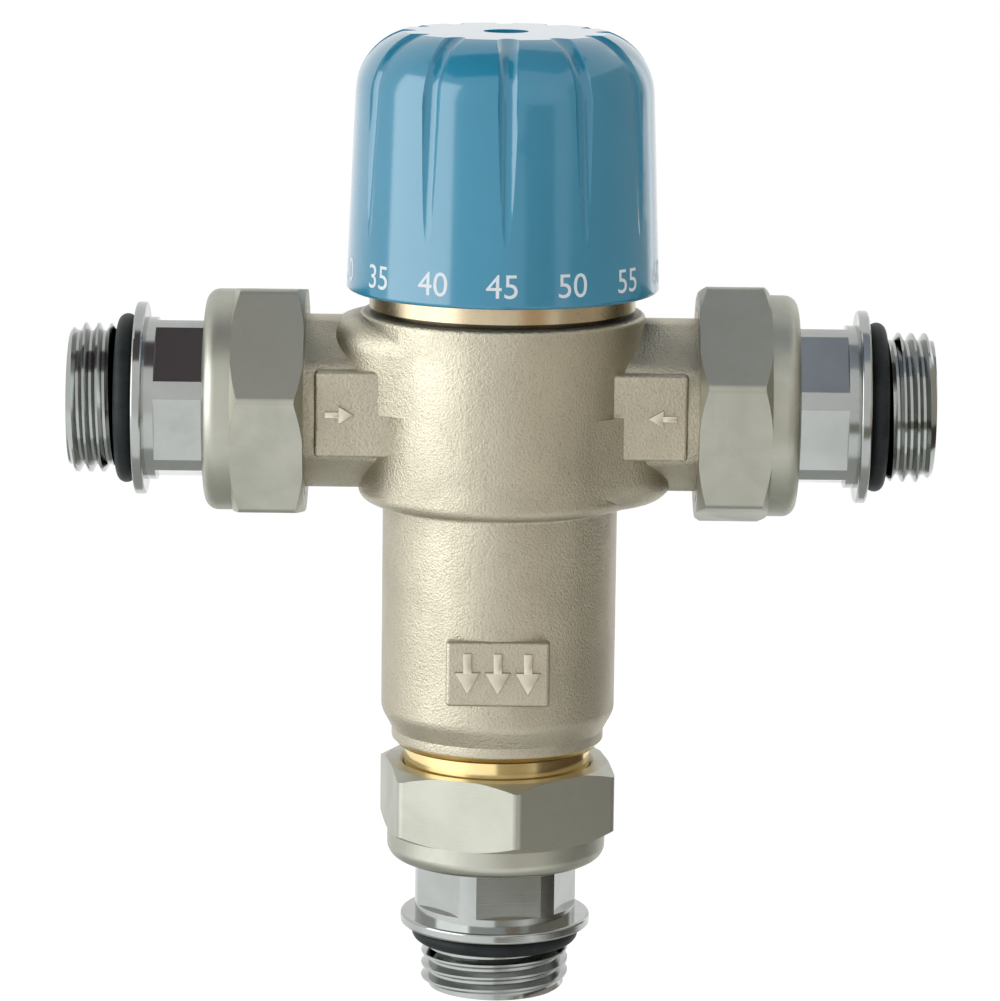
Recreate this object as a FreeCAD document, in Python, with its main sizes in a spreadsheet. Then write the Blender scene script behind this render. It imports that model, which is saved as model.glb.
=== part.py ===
"""Thermostatic mixing valve with three union tails, as a parametric FreeCAD document.

Frame: the origin is the centre of the mixed-water thread's end face, +Z up along the valve's axis,
cold inlet towards -X, hot inlet towards +X, front of the valve towards -Y. Millimetres.
Heights in the valve's own bodies count from the arms' axis, which lies axis_height above the origin.
"""
import FreeCAD, Part
import math
import os
import re
import Sketcher

FULL_TURN = 360
GRIP_START_GAP = 0.02  # the grip cutter starts just clear of the skirt
GRIP_BEND = 66  # degrees that the grips turn over the shoulder
GRIP_RUN_OUT = 6  # straight run with which they leave the crown
WORDS_OF_EXPRESSIONS = {"sqrt", "cos", "sin"}

DIMENSIONS = [
    # the casting
    ("axis_height", 84.2, "arms' axis above the mixed thread's end face"),
    ("barrel_radius", 20.0, "upper barrel of the casting"),
    ("barrel_top", 13.0, "top face of the upper barrel"),
    ("barrel_bottom", -13.7, "underside of the upper barrel"),
    ("lower_radius", 16.5, "lower barrel"),
    ("shoulder_top", -43.6, "start of the lower barrel's shoulder"),
    ("shoulder_bottom", -46.4, "end of the shoulder"),
    ("collar_radius", 15.0, "collar above the outlet thread"),
    ("collar_bottom", -47.8, "lower edge of the collar"),
    ("outlet_neck_top", -49.6, "start of the outlet thread"),
    ("arm_radius", 12.125, "cast arms"),
    ("arm_reach", 27.3, "from the valve's axis to the union nuts"),
    ("union_thread_start", 1.0, "plain end of the arms inside the union nuts"),
    ("arm_flat", 11.4, "four flats along the arms, from the arms' axis"),
    ("arm_flat_turn", 55.0, "turn of those flats from the front and the back, in degrees"),
    ("bulge_radius", 14.0, "round ends of the bulges over the galleries"),
    ("bulge_offset", 10.6, "centre of those ends from the valve's axis"),
    ("bulge_side", 19.92, "sides of the bulges from the valve's axis"),
    ("bulge_top", 12.7, "top of the cold bulge above the arms' axis"),
    ("bulge_round", 4.5, "rounding of the bulges' rims"),
    ("pad_start", 12.0, "inner end of the arms' marking pads, inside the barrel"),
    ("pad_back", 8.0, "back of the marking pads, inside the casting"),
    ("pad_round", 0.6, "rounding of the marking pads"),
    ("pad_face", 12.6, "front face of the arms' marking pads from the axis"),
    ("pad_half_height", 6.0, "half height of the arms' marking pads"),
    ("pad_reach", 25.8, "outer end of the arms' marking pads"),
    ("outlet_pad_face", 16.9, "front face of the outlet's marking pad"),
    ("outlet_pad_half_width", 7.2, "half width of the outlet's marking pad"),
    ("outlet_pad_top", -30.8, "upper edge of the outlet's marking pad"),
    ("outlet_pad_bottom", -40.0, "lower edge of the outlet's marking pad"),
    ("cast_round", 0.8, "small rounding of the casting's edges"),
    ("collar_round", 0.5, "rounding of the collar's lower edge"),
    ("foot_round", 1.8, "rounding under the upper barrel"),
    ("shoulder_round", 3.0, "rounding of the lower barrel's shoulder"),
    # waterways in the casting
    ("chamber_radius", 15.0, "cold and hot chambers"),
    ("land_radius", 13.0, "guide land between the chambers"),
    ("land_top", 0.0, "upper edge of the guide land"),
    ("land_bottom", -4.0, "lower edge of the guide land"),
    ("seal_groove_radius", 14.5, "shuttle seal's groove"),
    ("seal_groove_top", -1.2, "upper edge of the shuttle seal's groove"),
    ("seal_groove_bottom", -2.8, "lower edge of the shuttle seal's groove"),
    ("hot_port_face", -12.0, "ledge that closes the hot port"),
    ("hot_port_radius", 11.5, "hot port"),
    ("hot_port_end", -14.0, "underside of the hot port's ledge"),
    ("mixing_radius", 12.5, "mixing chamber"),
    ("mixing_end", -46.0, "floor of the mixing chamber"),
    ("outlet_radius", 8.0, "outlet bore"),
    ("arm_bore_radius", 9.0, "bore of the arms"),
    ("arm_bore_end", 17.0, "blind end of the arms' bores from the axis"),
    ("gallery_outer", 20.0, "outer end of the galleries"),
    ("gallery_inner", 12.0, "inner end of the galleries, inside the chambers"),
    ("gallery_half_width", 8.0, "half width of the galleries"),
    ("gallery_margin", 0.6, "gallery edge from the chamber's edge"),
    ("bonnet_thread_radius", 16.5, "thread of the bonnet, plain in this model"),
    ("thread_gap", 0.05, "radial gap of plain threads and pressed rings"),
    ("bonnet_end", 7.2, "underside of the bonnet's threaded part"),
    ("chamber_top", 7.0, "top of the cold chamber, just under the bonnet"),
    # unions, heights counted outwards from the nut's inner face
    ("union_thread_radius", 13.22, "G3/4 thread on the casting"),
    ("union_depth", 6.0, "thread of the casting inside the nut"),
    ("nut_flats", 31.0, "across the flats of the union nuts"),
    ("nut_hex_length", 10.0, "hexagon of the union nuts"),
    ("nut_collar_radius", 15.5, "round end of the union nuts"),
    ("nut_length", 14.0, "whole union nut"),
    ("nut_bore_radius", 13.3, "thread bore of the nuts, plain in this model"),
    ("nut_lip", 11.1, "start of the nuts' inward lip"),
    ("nut_mouth_radius", 11.6, "hole through the lip"),
    ("nut_chamfer_radius", 15.75, "radius where the nuts' corner chamfers start"),
    ("nut_chamfer_slope", 0.55, "corner chamfer's length over its depth"),
    ("nut_edge_round", 1.9, "rounding of the nuts' outer end"),
    ("nut_corner_round", 1.3, "rounding of the nuts' six long edges"),
    ("nut_lead_in", 0.5, "chamfer at the nuts' thread"),
    ("gasket_end", 8.0, "outer face of the union gaskets"),
    ("gasket_radius", 12.05, "union gaskets and tail flanges"),
    ("gasket_bore_radius", 8.6, "hole of the union gaskets"),
    ("flange_end", 11.0, "outer face of the tail flanges"),
    ("shank_flats", 21.0, "across the flats of the tails"),
    ("shank_radius", 11.47, "turned corners of the tails' hexagon"),
    ("shank_end", 20.8, "end of the tails' hexagon"),
    ("tail_collar_radius", 11.4, "round collar after the hexagon"),
    ("tail_collar_end", 22.3, "face that the backing washer rests on"),
    ("washer_spigot_radius", 10.5, "spigot inside the backing washer"),
    ("washer_end", 23.8, "outer face of the backing washers"),
    ("washer_radius", 13.5, "backing washers"),
    ("washer_round", 0.35, "rounding of the backing washers"),
    ("relief_radius", 9.3, "thread relief under the O-rings"),
    ("relief_end", 26.4, "start of the tails' thread"),
    ("tail_thread_radius", 10.4775, "G1/2 thread of the tails, plain in this model"),
    ("tail_end", 33.0, "end face of the tails"),
    ("tail_bore_radius", 7.5, "waterway of the tails"),
    ("tail_chamfer", 0.4, "chamfer at the tails' mouth"),
    ("strainer_seat_radius", 9.6, "recess for the strainer"),
    ("strainer_depth", 1.0, "depth of the strainer's recess"),
    ("strainer_sheet", 0.8, "thickness of the strainer"),
    ("strainer_hole_radius", 0.75, "holes of the strainer"),
    ("strainer_ring_step", 2.025, "distance between the rings of holes"),
    ("thread_seal_radius", 1.28, "section radius of the tails' O-rings"),
    # check valve cartridges, counted inwards from the arm's end
    ("check_radius", 8.95, "outside of the check valve housing"),
    ("check_bore_radius", 7.2, "inside of the check valve housing"),
    ("check_port_radius", 5.5, "port that the poppet closes"),
    ("check_port_depth", 1.5, "thickness of the port's wall"),
    ("check_length", 10.0, "whole check valve housing"),
    ("check_hub_start", 8.2, "guide hub of the check valve"),
    ("check_hub_radius", 2.9, "guide hub's radius"),
    ("check_arm_width", 1.4, "arms that carry the guide hub"),
    ("check_arm_overlap", 0.5, "how far those arms run into the hub and the sleeve"),
    ("check_stem_radius", 1.5, "poppet's stem"),
    ("check_clearance", 0.08, "running clearance of the poppet's stem"),
    ("check_disc_radius", 6.4, "poppet's disc"),
    ("check_disc_start", 1.6, "face of the poppet's disc next to the port"),
    ("check_disc_end", 2.9, "inner face of the poppet's disc"),
    ("check_dome_radius", 4.6, "poppet's dome in the port"),
    ("check_dome_rise", 0.7, "height of the dome's slope"),
    ("check_tip_radius", 2.4, "flatter tip of the dome"),
    ("check_tip_rise", 0.3, "height of that tip"),
    ("check_chamfer", 0.4, "chamfers of the poppet"),
    ("check_stem_end", 10.6, "tip of the poppet's stem"),
    ("check_wire", 0.25, "wire radius of the check spring"),
    ("check_coil_radius", 2.3, "mean radius of the check spring"),
    ("check_coil_pitch", 1.3, "pitch of the check spring"),
    # bonnet
    ("bonnet_seat_end", 6.5, "lip that closes the cold port"),
    ("bonnet_seat_outer", 12.9, "outer radius of the cold port's lip"),
    ("bonnet_seat_inner", 11.3, "inner radius of the cold port's lip"),
    ("bonnet_relief_radius", 15.0, "groove of the bonnet seal"),
    ("bonnet_relief_start", 11.5, "lower edge of the bonnet seal's groove"),
    ("bonnet_foot_radius", 17.5, "part of the bonnet that rests on the casting"),
    ("bonnet_seam", 0.5, "open seam under the bonnet's rim"),
    ("bonnet_rim_radius", 18.6, "rim of the bonnet"),
    ("bonnet_rim_top", 17.0, "top of the rim"),
    ("bonnet_flats", 29.0, "hexagon of the bonnet, under the knob"),
    ("bonnet_hex_top", 23.0, "top of the bonnet's hexagon"),
    ("bonnet_seal_mean", 15.75, "mean radius of the bonnet seal"),
    ("bonnet_seal_height", 12.25, "middle of the bonnet seal"),
    ("bonnet_boss_radius", 11.0, "boss around the spindle"),
    ("bonnet_boss_chamfer", 1.0, "chamfer of the boss"),
    ("bonnet_top", 35.0, "top of the boss"),
    ("keyway_flats", 15.0, "hexagon bore that guides the plunger"),
    ("keyway_top", 30.6, "end of the hexagon bore"),
    ("spindle_hole_radius", 4.05, "hole for the spindle"),
    ("stop_inner", 13.0, "inner radius of the bonnet's stop"),
    ("stop_outer", 16.6, "outer radius of the bonnet's stop"),
    ("stop_angle", 44.0, "width of each stop, in degrees"),
    ("stop_top", 27.0, "top of the stops"),
    ("stop_overlap", 0.5, "how far the bonnet's stop runs into its hexagon"),
    # spindle and what rides on it
    ("drive_radius", 4.95, "two-start drive thread, plain in this model"),
    ("drive_bottom", 21.5, "lower end of the spindle"),
    ("drive_chamfer", 0.6, "chamfer of the drive thread's end"),
    ("thrust_radius", 6.8, "thrust collar"),
    ("thrust_bottom", 29.0, "underside of the thrust collar"),
    ("thrust_top", 30.5, "top of the thrust collar"),
    ("shaft_radius", 4.0, "shaft through the bonnet"),
    ("shaft_top", 36.6, "end of the round shaft"),
    ("shaft_seal_bottom", 31.8, "lower edge of the spindle seal's groove"),
    ("shaft_seal_top", 33.3, "upper edge of the spindle seal's groove"),
    ("shaft_seal_groove", 2.7, "radius of the spindle seal's groove"),
    ("shaft_seal_mean", 3.36, "mean radius of the spindle seal"),
    ("shaft_seal_radius", 0.63, "section radius of the spindle seal"),
    ("clip_groove_bottom", 35.2, "lower edge of the retaining ring"),
    ("clip_groove_top", 35.9, "upper edge of the retaining ring"),
    ("clip_groove_radius", 3.2, "radius of the retaining ring's groove"),
    ("clip_radius", 6.2, "outside of the retaining ring"),
    ("drive_hex_flats", 6.0, "hexagon end that carries the knob"),
    ("spindle_top", 45.0, "top of the spindle"),
    ("screw_radius", 1.75, "knob screw"),
    ("screw_depth", 9.0, "tapped hole in the spindle"),
    ("screw_tip_gap", 0.6, "room under the tip of the knob screw"),
    ("screw_side_gap", 0.2, "radial room around the screw in the knob"),
    # plunger, overtravel cup, push rod, element
    ("plunger_flats", 14.9, "hexagon of the setting plunger"),
    ("plunger_bottom", 10.5, "underside of the plunger"),
    ("plunger_top", 27.0, "top of the plunger"),
    ("plunger_thread_radius", 5.0, "thread bore of the plunger"),
    ("plunger_thread_bottom", 19.8, "blind end of the thread bore"),
    ("cup_bore_radius", 5.6, "bore for the overtravel cup"),
    ("cup_bore_top", 18.8, "blind end of the cup's bore"),
    ("cup_clip_bottom", 10.9, "lower edge of the cup's clip"),
    ("cup_clip_top", 11.5, "upper edge of the cup's clip"),
    ("cup_clip_groove", 6.1, "groove radius of the cup's clip"),
    ("cup_clip_bore", 4.6, "hole of the cup's clip"),
    ("cup_bottom", 11.55, "underside of the overtravel cup"),
    ("cup_top", 12.6, "spring face of the overtravel cup"),
    ("cup_radius", 5.5, "overtravel cup"),
    ("cup_nose_radius", 3.2, "nose inside the overtravel spring"),
    ("cup_nose_top", 13.8, "top of that nose"),
    ("cup_nose_taper", 0.4, "how much narrower the nose is at its top"),
    ("rod_radius", 2.0, "push rod"),
    ("rod_bottom", -3.0, "lower end of the push rod"),
    ("rod_chamfer", 0.3, "chamfer of that end"),
    ("stem_radius", 4.0, "guide stem of the wax element"),
    ("stem_top", 7.0, "top of the guide stem"),
    ("rod_bore_radius", 2.05, "bore of the guide stem"),
    ("rod_bore_bottom", -7.0, "blind end of the rod's bore"),
    ("element_flange_radius", 8.0, "flange of the wax element"),
    ("element_flange_top", -0.5, "top of the flange"),
    ("bulb_radius", 6.5, "bulb of the wax element"),
    ("bulb_bottom", -26.0, "lower end of the bulb"),
    ("bulb_round", 2.5, "rounding of the bulb"),
    # shuttle
    ("shuttle_radius", 12.95, "outside of the mixing shuttle"),
    ("shuttle_bore", 11.25, "inside of the mixing shuttle"),
    ("shuttle_top", 5.0, "cold end of the shuttle"),
    ("shuttle_bottom", -10.5, "hot end of the shuttle"),
    ("hub_top", -3.0, "top of the shuttle's hub"),
    ("hub_bottom", -7.0, "underside of the shuttle's hub"),
    ("hub_radius", 8.2, "outside of the shuttle's hub"),
    ("hub_bore", 6.6, "hole of the shuttle's hub"),
    ("spoke_width", 2.6, "width of the spokes"),
    ("spoke_overlap", 0.7, "how far the spokes run into the hub and the sleeve"),
    ("large_seal_radius", 0.72, "section radius of the shuttle and bonnet seals"),
    ("shuttle_seal_mean", 13.75, "mean radius of the shuttle seal"),
    # springs
    ("return_wire", 0.8, "wire radius of the return spring"),
    ("return_coil_radius", 9.4, "mean radius of the return spring"),
    ("return_pitch", 4.7, "pitch of the return spring"),
    ("overtravel_wire", 0.5, "wire radius of the overtravel spring"),
    ("overtravel_coil_radius", 4.5, "mean radius of the overtravel spring"),
    ("overtravel_pitch", 1.7, "pitch of the overtravel spring"),
    # knob
    ("knob_bottom", 16.1, "lower edge of the knob"),
    ("knob_base_radius", 21.85, "outside at the lower edge"),
    ("knob_waist", 43.6, "height where the shoulder starts"),
    ("knob_waist_radius", 20.75, "outside where the shoulder starts"),
    ("knob_top", 52.0, "top face"),
    ("knob_top_radius", 14.3, "flat part of the top"),
    ("knob_bulge", 0.22, "rise of the shoulder's arc over its chord's length"),
    ("knob_wall", 2.0, "wall thickness"),
    ("knob_edge_round", 0.5, "rounding of the lower edge"),
    ("hub_knob_radius", 6.2, "knob's hub"),
    ("hub_knob_bottom", 37.0, "lower end of the knob's hub"),
    ("hub_knob_top", 51.0, "upper end of the hub, inside the knob's top"),
    ("hub_socket_flats", 6.05, "hexagon socket of the hub"),
    ("screw_floor", 47.4, "floor of the screw's recess"),
    ("screw_recess_radius", 3.15, "recess for the screw's head"),
    ("screw_head_radius", 2.95, "screw's head"),
    ("screw_head_top", 49.6, "top of the screw's head"),
    ("rib_width", 1.4, "ribs under the knob's top"),
    ("rib_bottom", 43.0, "lower edge of those ribs"),
    ("rib_top", 44.0, "upper edge of the ribs, inside the knob's top"),
    ("rib_reach", 18.55, "outer end of the ribs"),
    ("hub_socket_end", 45.1, "end of the hub's socket, just over the spindle"),
    ("knob_stop_inner", 14.0, "inner radius of the knob's stop"),
    ("knob_stop_outer", 19.75, "outer radius of the knob's stop, inside its skirt"),
    ("knob_stop_bottom", 23.4, "underside of the knob's stop"),
    ("grip_count", 12, "grip grooves around the knob"),
    ("grip_radius", 1.7, "section radius of the grip grooves"),
    ("grip_depth", 0.75, "depth of the grip grooves at the shoulder"),
    ("grip_fade", 23.5, "height where the grip grooves run out"),
    ("grip_turn", 1.2, "turn of the grooves from the front, in degrees"),
    ("clip_angle", 320, "how far the retaining rings reach round, in degrees"),
    ("screw_socket_flats", 2.5, "socket in the screw's head"),
    ("screw_socket_depth", 1.4, "depth of that socket"),
    ("cutter_margin", 1.0, "how far cutters start outside the material they cut"),
    # turns of the unions' hexagons as assembled, in degrees
    ("nut_turn_cold", 37.5, "cold union nut"),
    ("nut_turn_hot", 13.5, "hot union nut"),
    ("nut_turn_mixed", 20.5, "mixed union nut"),
    ("shank_turn_cold", 44.4, "cold tail"),
    ("shank_turn_hot", 17.5, "hot tail"),
    ("shank_turn_mixed", 49.5, "mixed tail"),
]

doc = FreeCAD.newDocument("mixing_valve")
sheet = doc.addObject("Spreadsheet::Sheet", "Dims")


def fill_sheet():
    """Write each driving dimension, its alias and what it means."""
    for row, (alias, value, meaning) in enumerate(DIMENSIONS, start=1):
        sheet.set(f"A{row}", meaning)
        sheet.set(f"B{row}", str(value))
        sheet.setAlias(f"B{row}", alias)
    doc.recompute()


def value(text):
    """What an expression of aliases gives now."""
    return float(sheet.evalExpression(text))


def bound(text):
    """The same expression as other objects write it, with the sheet's name before each alias."""
    return re.sub(
        r"[a-z][a-z_]+",
        lambda word: word.group() if word.group() in WORDS_OF_EXPRESSIONS else "Dims." + word.group(),
        text,
    )


def new_body(label):
    """A PartDesign body whose label names the piece."""
    body = doc.addObject("PartDesign::Body", label)
    body.Label = label
    return body


def sketch_on(body, name, plane, offset="0"):
    """An empty sketch on one of the body's own origin planes, moved along its normal."""
    sketch = body.newObject("Sketcher::SketchObject", name)
    planes = {feature.Role: feature for feature in body.Origin.OriginFeatures}
    sketch.AttachmentSupport = [(planes[plane], "")]
    sketch.MapMode = "FlatFace"
    if offset != "0":
        sketch.setExpression("AttachmentOffset.Base.z", bound(offset))
    return sketch


def dimension(sketch, kind, geometry, point, text):
    """Hold one coordinate of a point with an expression."""
    number = sketch.addConstraint(Sketcher.Constraint(kind, -1, 1, geometry, point, value(text)))
    sketch.setExpression(f"Constraints[{number}]", bound(text))


def radius_of(sketch, geometry, text):
    """Hold a circle's or an arc's radius with an expression."""
    number = sketch.addConstraint(Sketcher.Constraint("Radius", geometry, value(text)))
    sketch.setExpression(f"Constraints[{number}]", bound(text))


def add_outline(sketch, corners, arcs=None):
    """Add a closed outline; each corner is a pair of expressions.

    A side named in arcs by its first corner's index is an arc, counter-clockwise, given by the two
    expressions of its middle and the one of its radius. The other sides are straight.
    """
    arcs = arcs or {}
    first = sketch.GeometryCount
    points = [FreeCAD.Vector(value(x), value(y), 0) for x, y in corners]
    count = len(points)
    for index, point in enumerate(points):
        following = points[(index + 1) % count]
        if index in arcs:
            middle_x, middle_y, radius = arcs[index]
            middle = FreeCAD.Vector(value(middle_x), value(middle_y), 0)
            sketch.addGeometry(Part.Arc(point, middle, following))
        else:
            sketch.addGeometry(Part.LineSegment(point, following))
    for index, (x, y) in enumerate(corners):
        before = first + (index - 1) % count
        sketch.addConstraint(Sketcher.Constraint("Coincident", first + index, 1, before, 2))
        dimension(sketch, "DistanceX", first + index, 1, x)
        dimension(sketch, "DistanceY", first + index, 1, y)
    for index, (middle_x, middle_y, radius) in arcs.items():
        radius_of(sketch, first + index, radius)


def outline(body, name, plane, corners, offset="0", arcs=None):
    """A sketch with one outline."""
    sketch = sketch_on(body, name, plane, offset)
    add_outline(sketch, corners, arcs)
    return sketch


def rectangle(low_x, low_y, high_x, high_y):
    """Corners of a rectangle as expressions."""
    return [(low_x, low_y), (high_x, low_y), (high_x, high_y), (low_x, high_y)]


def hexagon(flats, turn="0"):
    """Corners of a hexagon of a given width across flats, turned by an expression in degrees."""
    return [
        (f"{flats} / sqrt(3) * cos({turn} + {60 * k})", f"{flats} / sqrt(3) * sin({turn} + {60 * k})")
        for k in range(6)
    ]


def circles(body, name, plane, rounds, offset="0"):
    """A sketch of circles, each a centre's two expressions and a radius expression."""
    sketch = sketch_on(body, name, plane, offset)
    for index, (x, y, radius) in enumerate(rounds):
        centre = FreeCAD.Vector(value(x), value(y), 0)
        sketch.addGeometry(Part.Circle(centre, FreeCAD.Vector(0, 0, 1), value(radius)))
        dimension(sketch, "DistanceX", index, 3, x)
        dimension(sketch, "DistanceY", index, 3, y)
        radius_of(sketch, index, radius)
    return sketch


def finish_feature(body, feature):
    """Recompute and stop on a feature that failed."""
    body.Tip = feature
    doc.recompute()
    if "Invalid" in feature.State or feature.Shape.isNull():
        raise RuntimeError(f"{body.Label}: {feature.Label} failed")
    return feature


def turned(body, name, sketch, axis="V_Axis", cut=False, angle=None, middle=False):
    """Revolve a profile about one of its sketch's axes, to add or to cut."""
    before = body.Shape.Volume if cut else 0.0
    feature = body.newObject("PartDesign::Groove" if cut else "PartDesign::Revolution", name)
    feature.Profile = sketch
    feature.ReferenceAxis = (sketch, [axis])
    feature.Angle = FULL_TURN
    feature.Midplane = middle
    if angle:
        feature.setExpression("Angle", bound(angle))
    finish_feature(body, feature)
    if cut and before - body.Shape.Volume < 1e-3:
        raise RuntimeError(f"{body.Label}: {name} cut nothing")
    return feature


def extruded(body, name, sketch, length, cut=False, middle=False, reverse=False):
    """Pad or pocket a sketch by an expression's length."""
    before = body.Shape.Volume if cut else 0.0
    feature = body.newObject("PartDesign::Pocket" if cut else "PartDesign::Pad", name)
    feature.Profile = sketch
    feature.Length = value(length)
    feature.setExpression("Length", bound(length))
    feature.Midplane = middle
    feature.Reversed = reverse
    finish_feature(body, feature)
    if cut and before - body.Shape.Volume < 1e-3:
        raise RuntimeError(f"{body.Label}: {name} cut nothing")
    return feature


def around(body, name, features, count):
    """Repeat features around the body's vertical axis."""
    axes = {feature.Role: feature for feature in body.Origin.OriginFeatures}
    pattern = body.newObject("PartDesign::PolarPattern", name)
    pattern.Originals = features
    pattern.Axis = (axes["Z_Axis"], [""])
    pattern.Angle = FULL_TURN
    pattern.Occurrences = count
    return finish_feature(body, pattern)


def edges_where(body, test):
    """Names of the tip's edges that pass a test."""
    return [f"Edge{n}" for n, edge in enumerate(body.Tip.Shape.Edges, start=1) if test(edge)]


def dressed(body, kind, name, names, size):
    """Fillet or chamfer the named edges of the tip by an expression's size."""
    base = body.Tip
    feature = body.newObject(f"PartDesign::{kind}", name)
    feature.Base = (base, names)
    prop = "Radius" if kind == "Fillet" else "Size"
    setattr(feature, prop, value(size))
    feature.setExpression(prop, bound(size))
    return finish_feature(body, feature)


def round_edges(body, name, test, size):
    """Fillet every edge of the tip that passes the test."""
    names = edges_where(body, test)
    if not names:
        raise RuntimeError(f"{body.Label}: no edges for {name}")
    return dressed(body, "Fillet", name, names, size)


def joined(body, name, parts):
    """Fuse whole bodies, drawn in this body's own frame, with this one."""
    before = body.Shape.Volume
    feature = body.newObject("PartDesign::Boolean", name)
    feature.Type = "Fuse"
    feature.setObjects(parts)
    finish_feature(body, feature)
    if body.Shape.Volume - before < 1e-3:
        raise RuntimeError(f"{body.Label}: {name} added nothing")
    return feature


def circle_at(radius, height):
    """A test for edges on a circle of this radius about Z at this height."""
    wanted_radius, wanted_height = value(radius), value(height)

    def test(edge):
        curve = edge.Curve
        return (
            isinstance(curve, Part.Circle)
            and abs(curve.Radius - wanted_radius) < 1e-3
            and abs(curve.Center.z - wanted_height) < 1e-3
            and math.hypot(curve.Center.x, curve.Center.y) < 1e-3
        )

    return test


def coil(body, mean_radius, wire, bottom, top, pitch):
    """A helical spring between two heights, its wire just inside both."""
    section = circles(body, "wire", "XZ_Plane", [(mean_radius, f"{bottom} + {wire}", wire)])
    doc.recompute()
    feature = body.newObject("PartDesign::AdditiveHelix", "coil")
    feature.Profile = section
    feature.ReferenceAxis = (section, ["V_Axis"])
    feature.Mode = "pitch-height-angle"
    feature.Pitch = value(pitch)
    feature.setExpression("Pitch", bound(pitch))
    feature.Height = value(f"{top} - ({bottom}) - 2 * {wire}")
    feature.setExpression("Height", bound(f"{top} - ({bottom}) - 2 * {wire}"))
    return finish_feature(body, feature)


def at_arms(body):
    """Stand a body of the valve at the arms' axis."""
    body.setExpression("Placement.Base.z", bound("axis_height"))
    return body


# ---------------------------------------------------------------- casting


def add_arms(body):
    """Both arms as one bar along X: round, with four flats."""
    half_flat = "sqrt(arm_radius * arm_radius - arm_flat * arm_flat)"
    turns = ("arm_flat_turn", "180 - arm_flat_turn", "180 + arm_flat_turn", "360 - arm_flat_turn")
    corners = []
    for turn in turns:
        for side in ("- 1", "+ 1"):
            half = f"({side} * {half_flat})"
            corners.append((f"arm_flat * cos({turn}) - {half} * sin({turn})",
                            f"arm_flat * sin({turn}) + {half} * cos({turn})"))
    arcs = {
        1: ("0", "arm_radius", "arm_radius"),
        3: ("- arm_radius", "0", "arm_radius"),
        5: ("0", "- arm_radius", "arm_radius"),
        7: ("arm_radius", "0", "arm_radius"),
    }
    sketch = outline(body, "arm_section", "YZ_Plane", corners, arcs=arcs)
    extruded(body, "arms", sketch, "2 * (arm_reach + union_thread_start)", middle=True)


def build_bulge(label, side, low, high, rim):
    """A bulge over one gallery: sides that leave the barrel, a round end and a soft rim."""
    body = new_body(label)
    lean = "((bulge_side - bulge_radius) / bulge_offset)"
    rise = f"sqrt(1 - {lean} * {lean})"
    near_x = f"{side} * bulge_side * {lean}"
    near_y = f"bulge_side * {rise}"
    far_x = f"{side} * (bulge_offset + bulge_radius * {lean})"
    far_y = f"bulge_radius * {rise}"
    corners = [
        (near_x, f"- ({side}) * {near_y}"),
        (far_x, f"- ({side}) * {far_y}"),
        (far_x, f"{side} * {far_y}"),
        (near_x, f"{side} * {near_y}"),
    ]
    end = {1: (f"{side} * (bulge_offset + bulge_radius)", "0", "bulge_radius")}
    sketch = outline(body, "bulge_outline", "XY_Plane", corners, low, arcs=end)
    extruded(body, "bulge", sketch, f"{high} - ({low})")
    height = value(rim)
    inner_face = abs(value(near_x))

    def is_on_rim(edge):
        box = edge.BoundBox
        level = max(abs(box.ZMin - height), abs(box.ZMax - height)) < 1e-3
        return level and max(abs(box.XMin), abs(box.XMax)) > inner_face + 1e-3

    round_edges(body, "rim_round", is_on_rim, "bulge_round")
    return body


def build_marking_pad(label, corners, face):
    """A raised pad for a marking, soft all round, its outline seen from the front."""
    body = new_body(label)
    sketch = outline(body, "pad_outline", "XZ_Plane", corners, "pad_back")
    extruded(body, "pad", sketch, f"{face} - pad_back")
    back = - value("pad_back")
    round_edges(body, "pad_rounds", lambda edge: edge.BoundBox.YMin < back - 1e-3, "pad_round")
    return body


def build_valve_body():
    """Casting: barrels, arms, two bulges over the galleries, marking pads and the waterways."""
    body = at_arms(new_body("valve_body"))
    barrel = [
        ("0", "barrel_top"),
        ("barrel_radius", "barrel_top"),
        ("barrel_radius", "barrel_bottom"),
        ("lower_radius", "barrel_bottom"),
        ("lower_radius", "shoulder_top"),
        ("collar_radius", "shoulder_bottom"),
        ("collar_radius", "collar_bottom"),
        ("union_thread_radius", "outlet_neck_top"),
        ("union_thread_radius", "tail_end - axis_height - union_depth"),
        ("0", "tail_end - axis_height - union_depth"),
    ]
    turned(body, "barrels", outline(body, "barrel_profile", "XZ_Plane", barrel))
    round_edges(body, "barrel_edge", circle_at("barrel_radius", "barrel_top"), "cast_round")
    round_edges(body, "lower_root", circle_at("lower_radius", "barrel_bottom"), "cast_round")
    round_edges(body, "barrel_foot", circle_at("barrel_radius", "barrel_bottom"), "foot_round")
    round_edges(body, "shoulder", circle_at("lower_radius", "shoulder_top"), "shoulder_round")
    round_edges(body, "collar_edge", circle_at("collar_radius", "collar_bottom"), "collar_round")
    add_arms(body)
    forms = [
        build_bulge("cold_bulge", "-1", "0", "bulge_top", "bulge_top"),
        build_bulge("hot_bulge", "1", "barrel_bottom", "0", "barrel_bottom"),
        build_marking_pad("outlet_pad", rectangle("- outlet_pad_half_width", "outlet_pad_bottom",
                                                  "outlet_pad_half_width", "outlet_pad_top"),
                          "outlet_pad_face"),
    ]
    for port, side in (("cold", "-1"), ("hot", "1")):
        corners = rectangle(f"{side} * pad_start", "- pad_half_height",
                            f"{side} * pad_reach", "pad_half_height")
        forms.append(build_marking_pad(f"{port}_pad", corners, "pad_face"))
    joined(body, "bulges_and_pads", forms)
    for side in ("-1", "1"):
        section = circles(body, "thread_section", "YZ_Plane", [("0", "0", "union_thread_radius")],
                          f"{side} * arm_reach")
        extruded(body, "arm_thread", section, "union_depth", reverse=side == "-1")
    cut_waterways(body)
    return body


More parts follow.
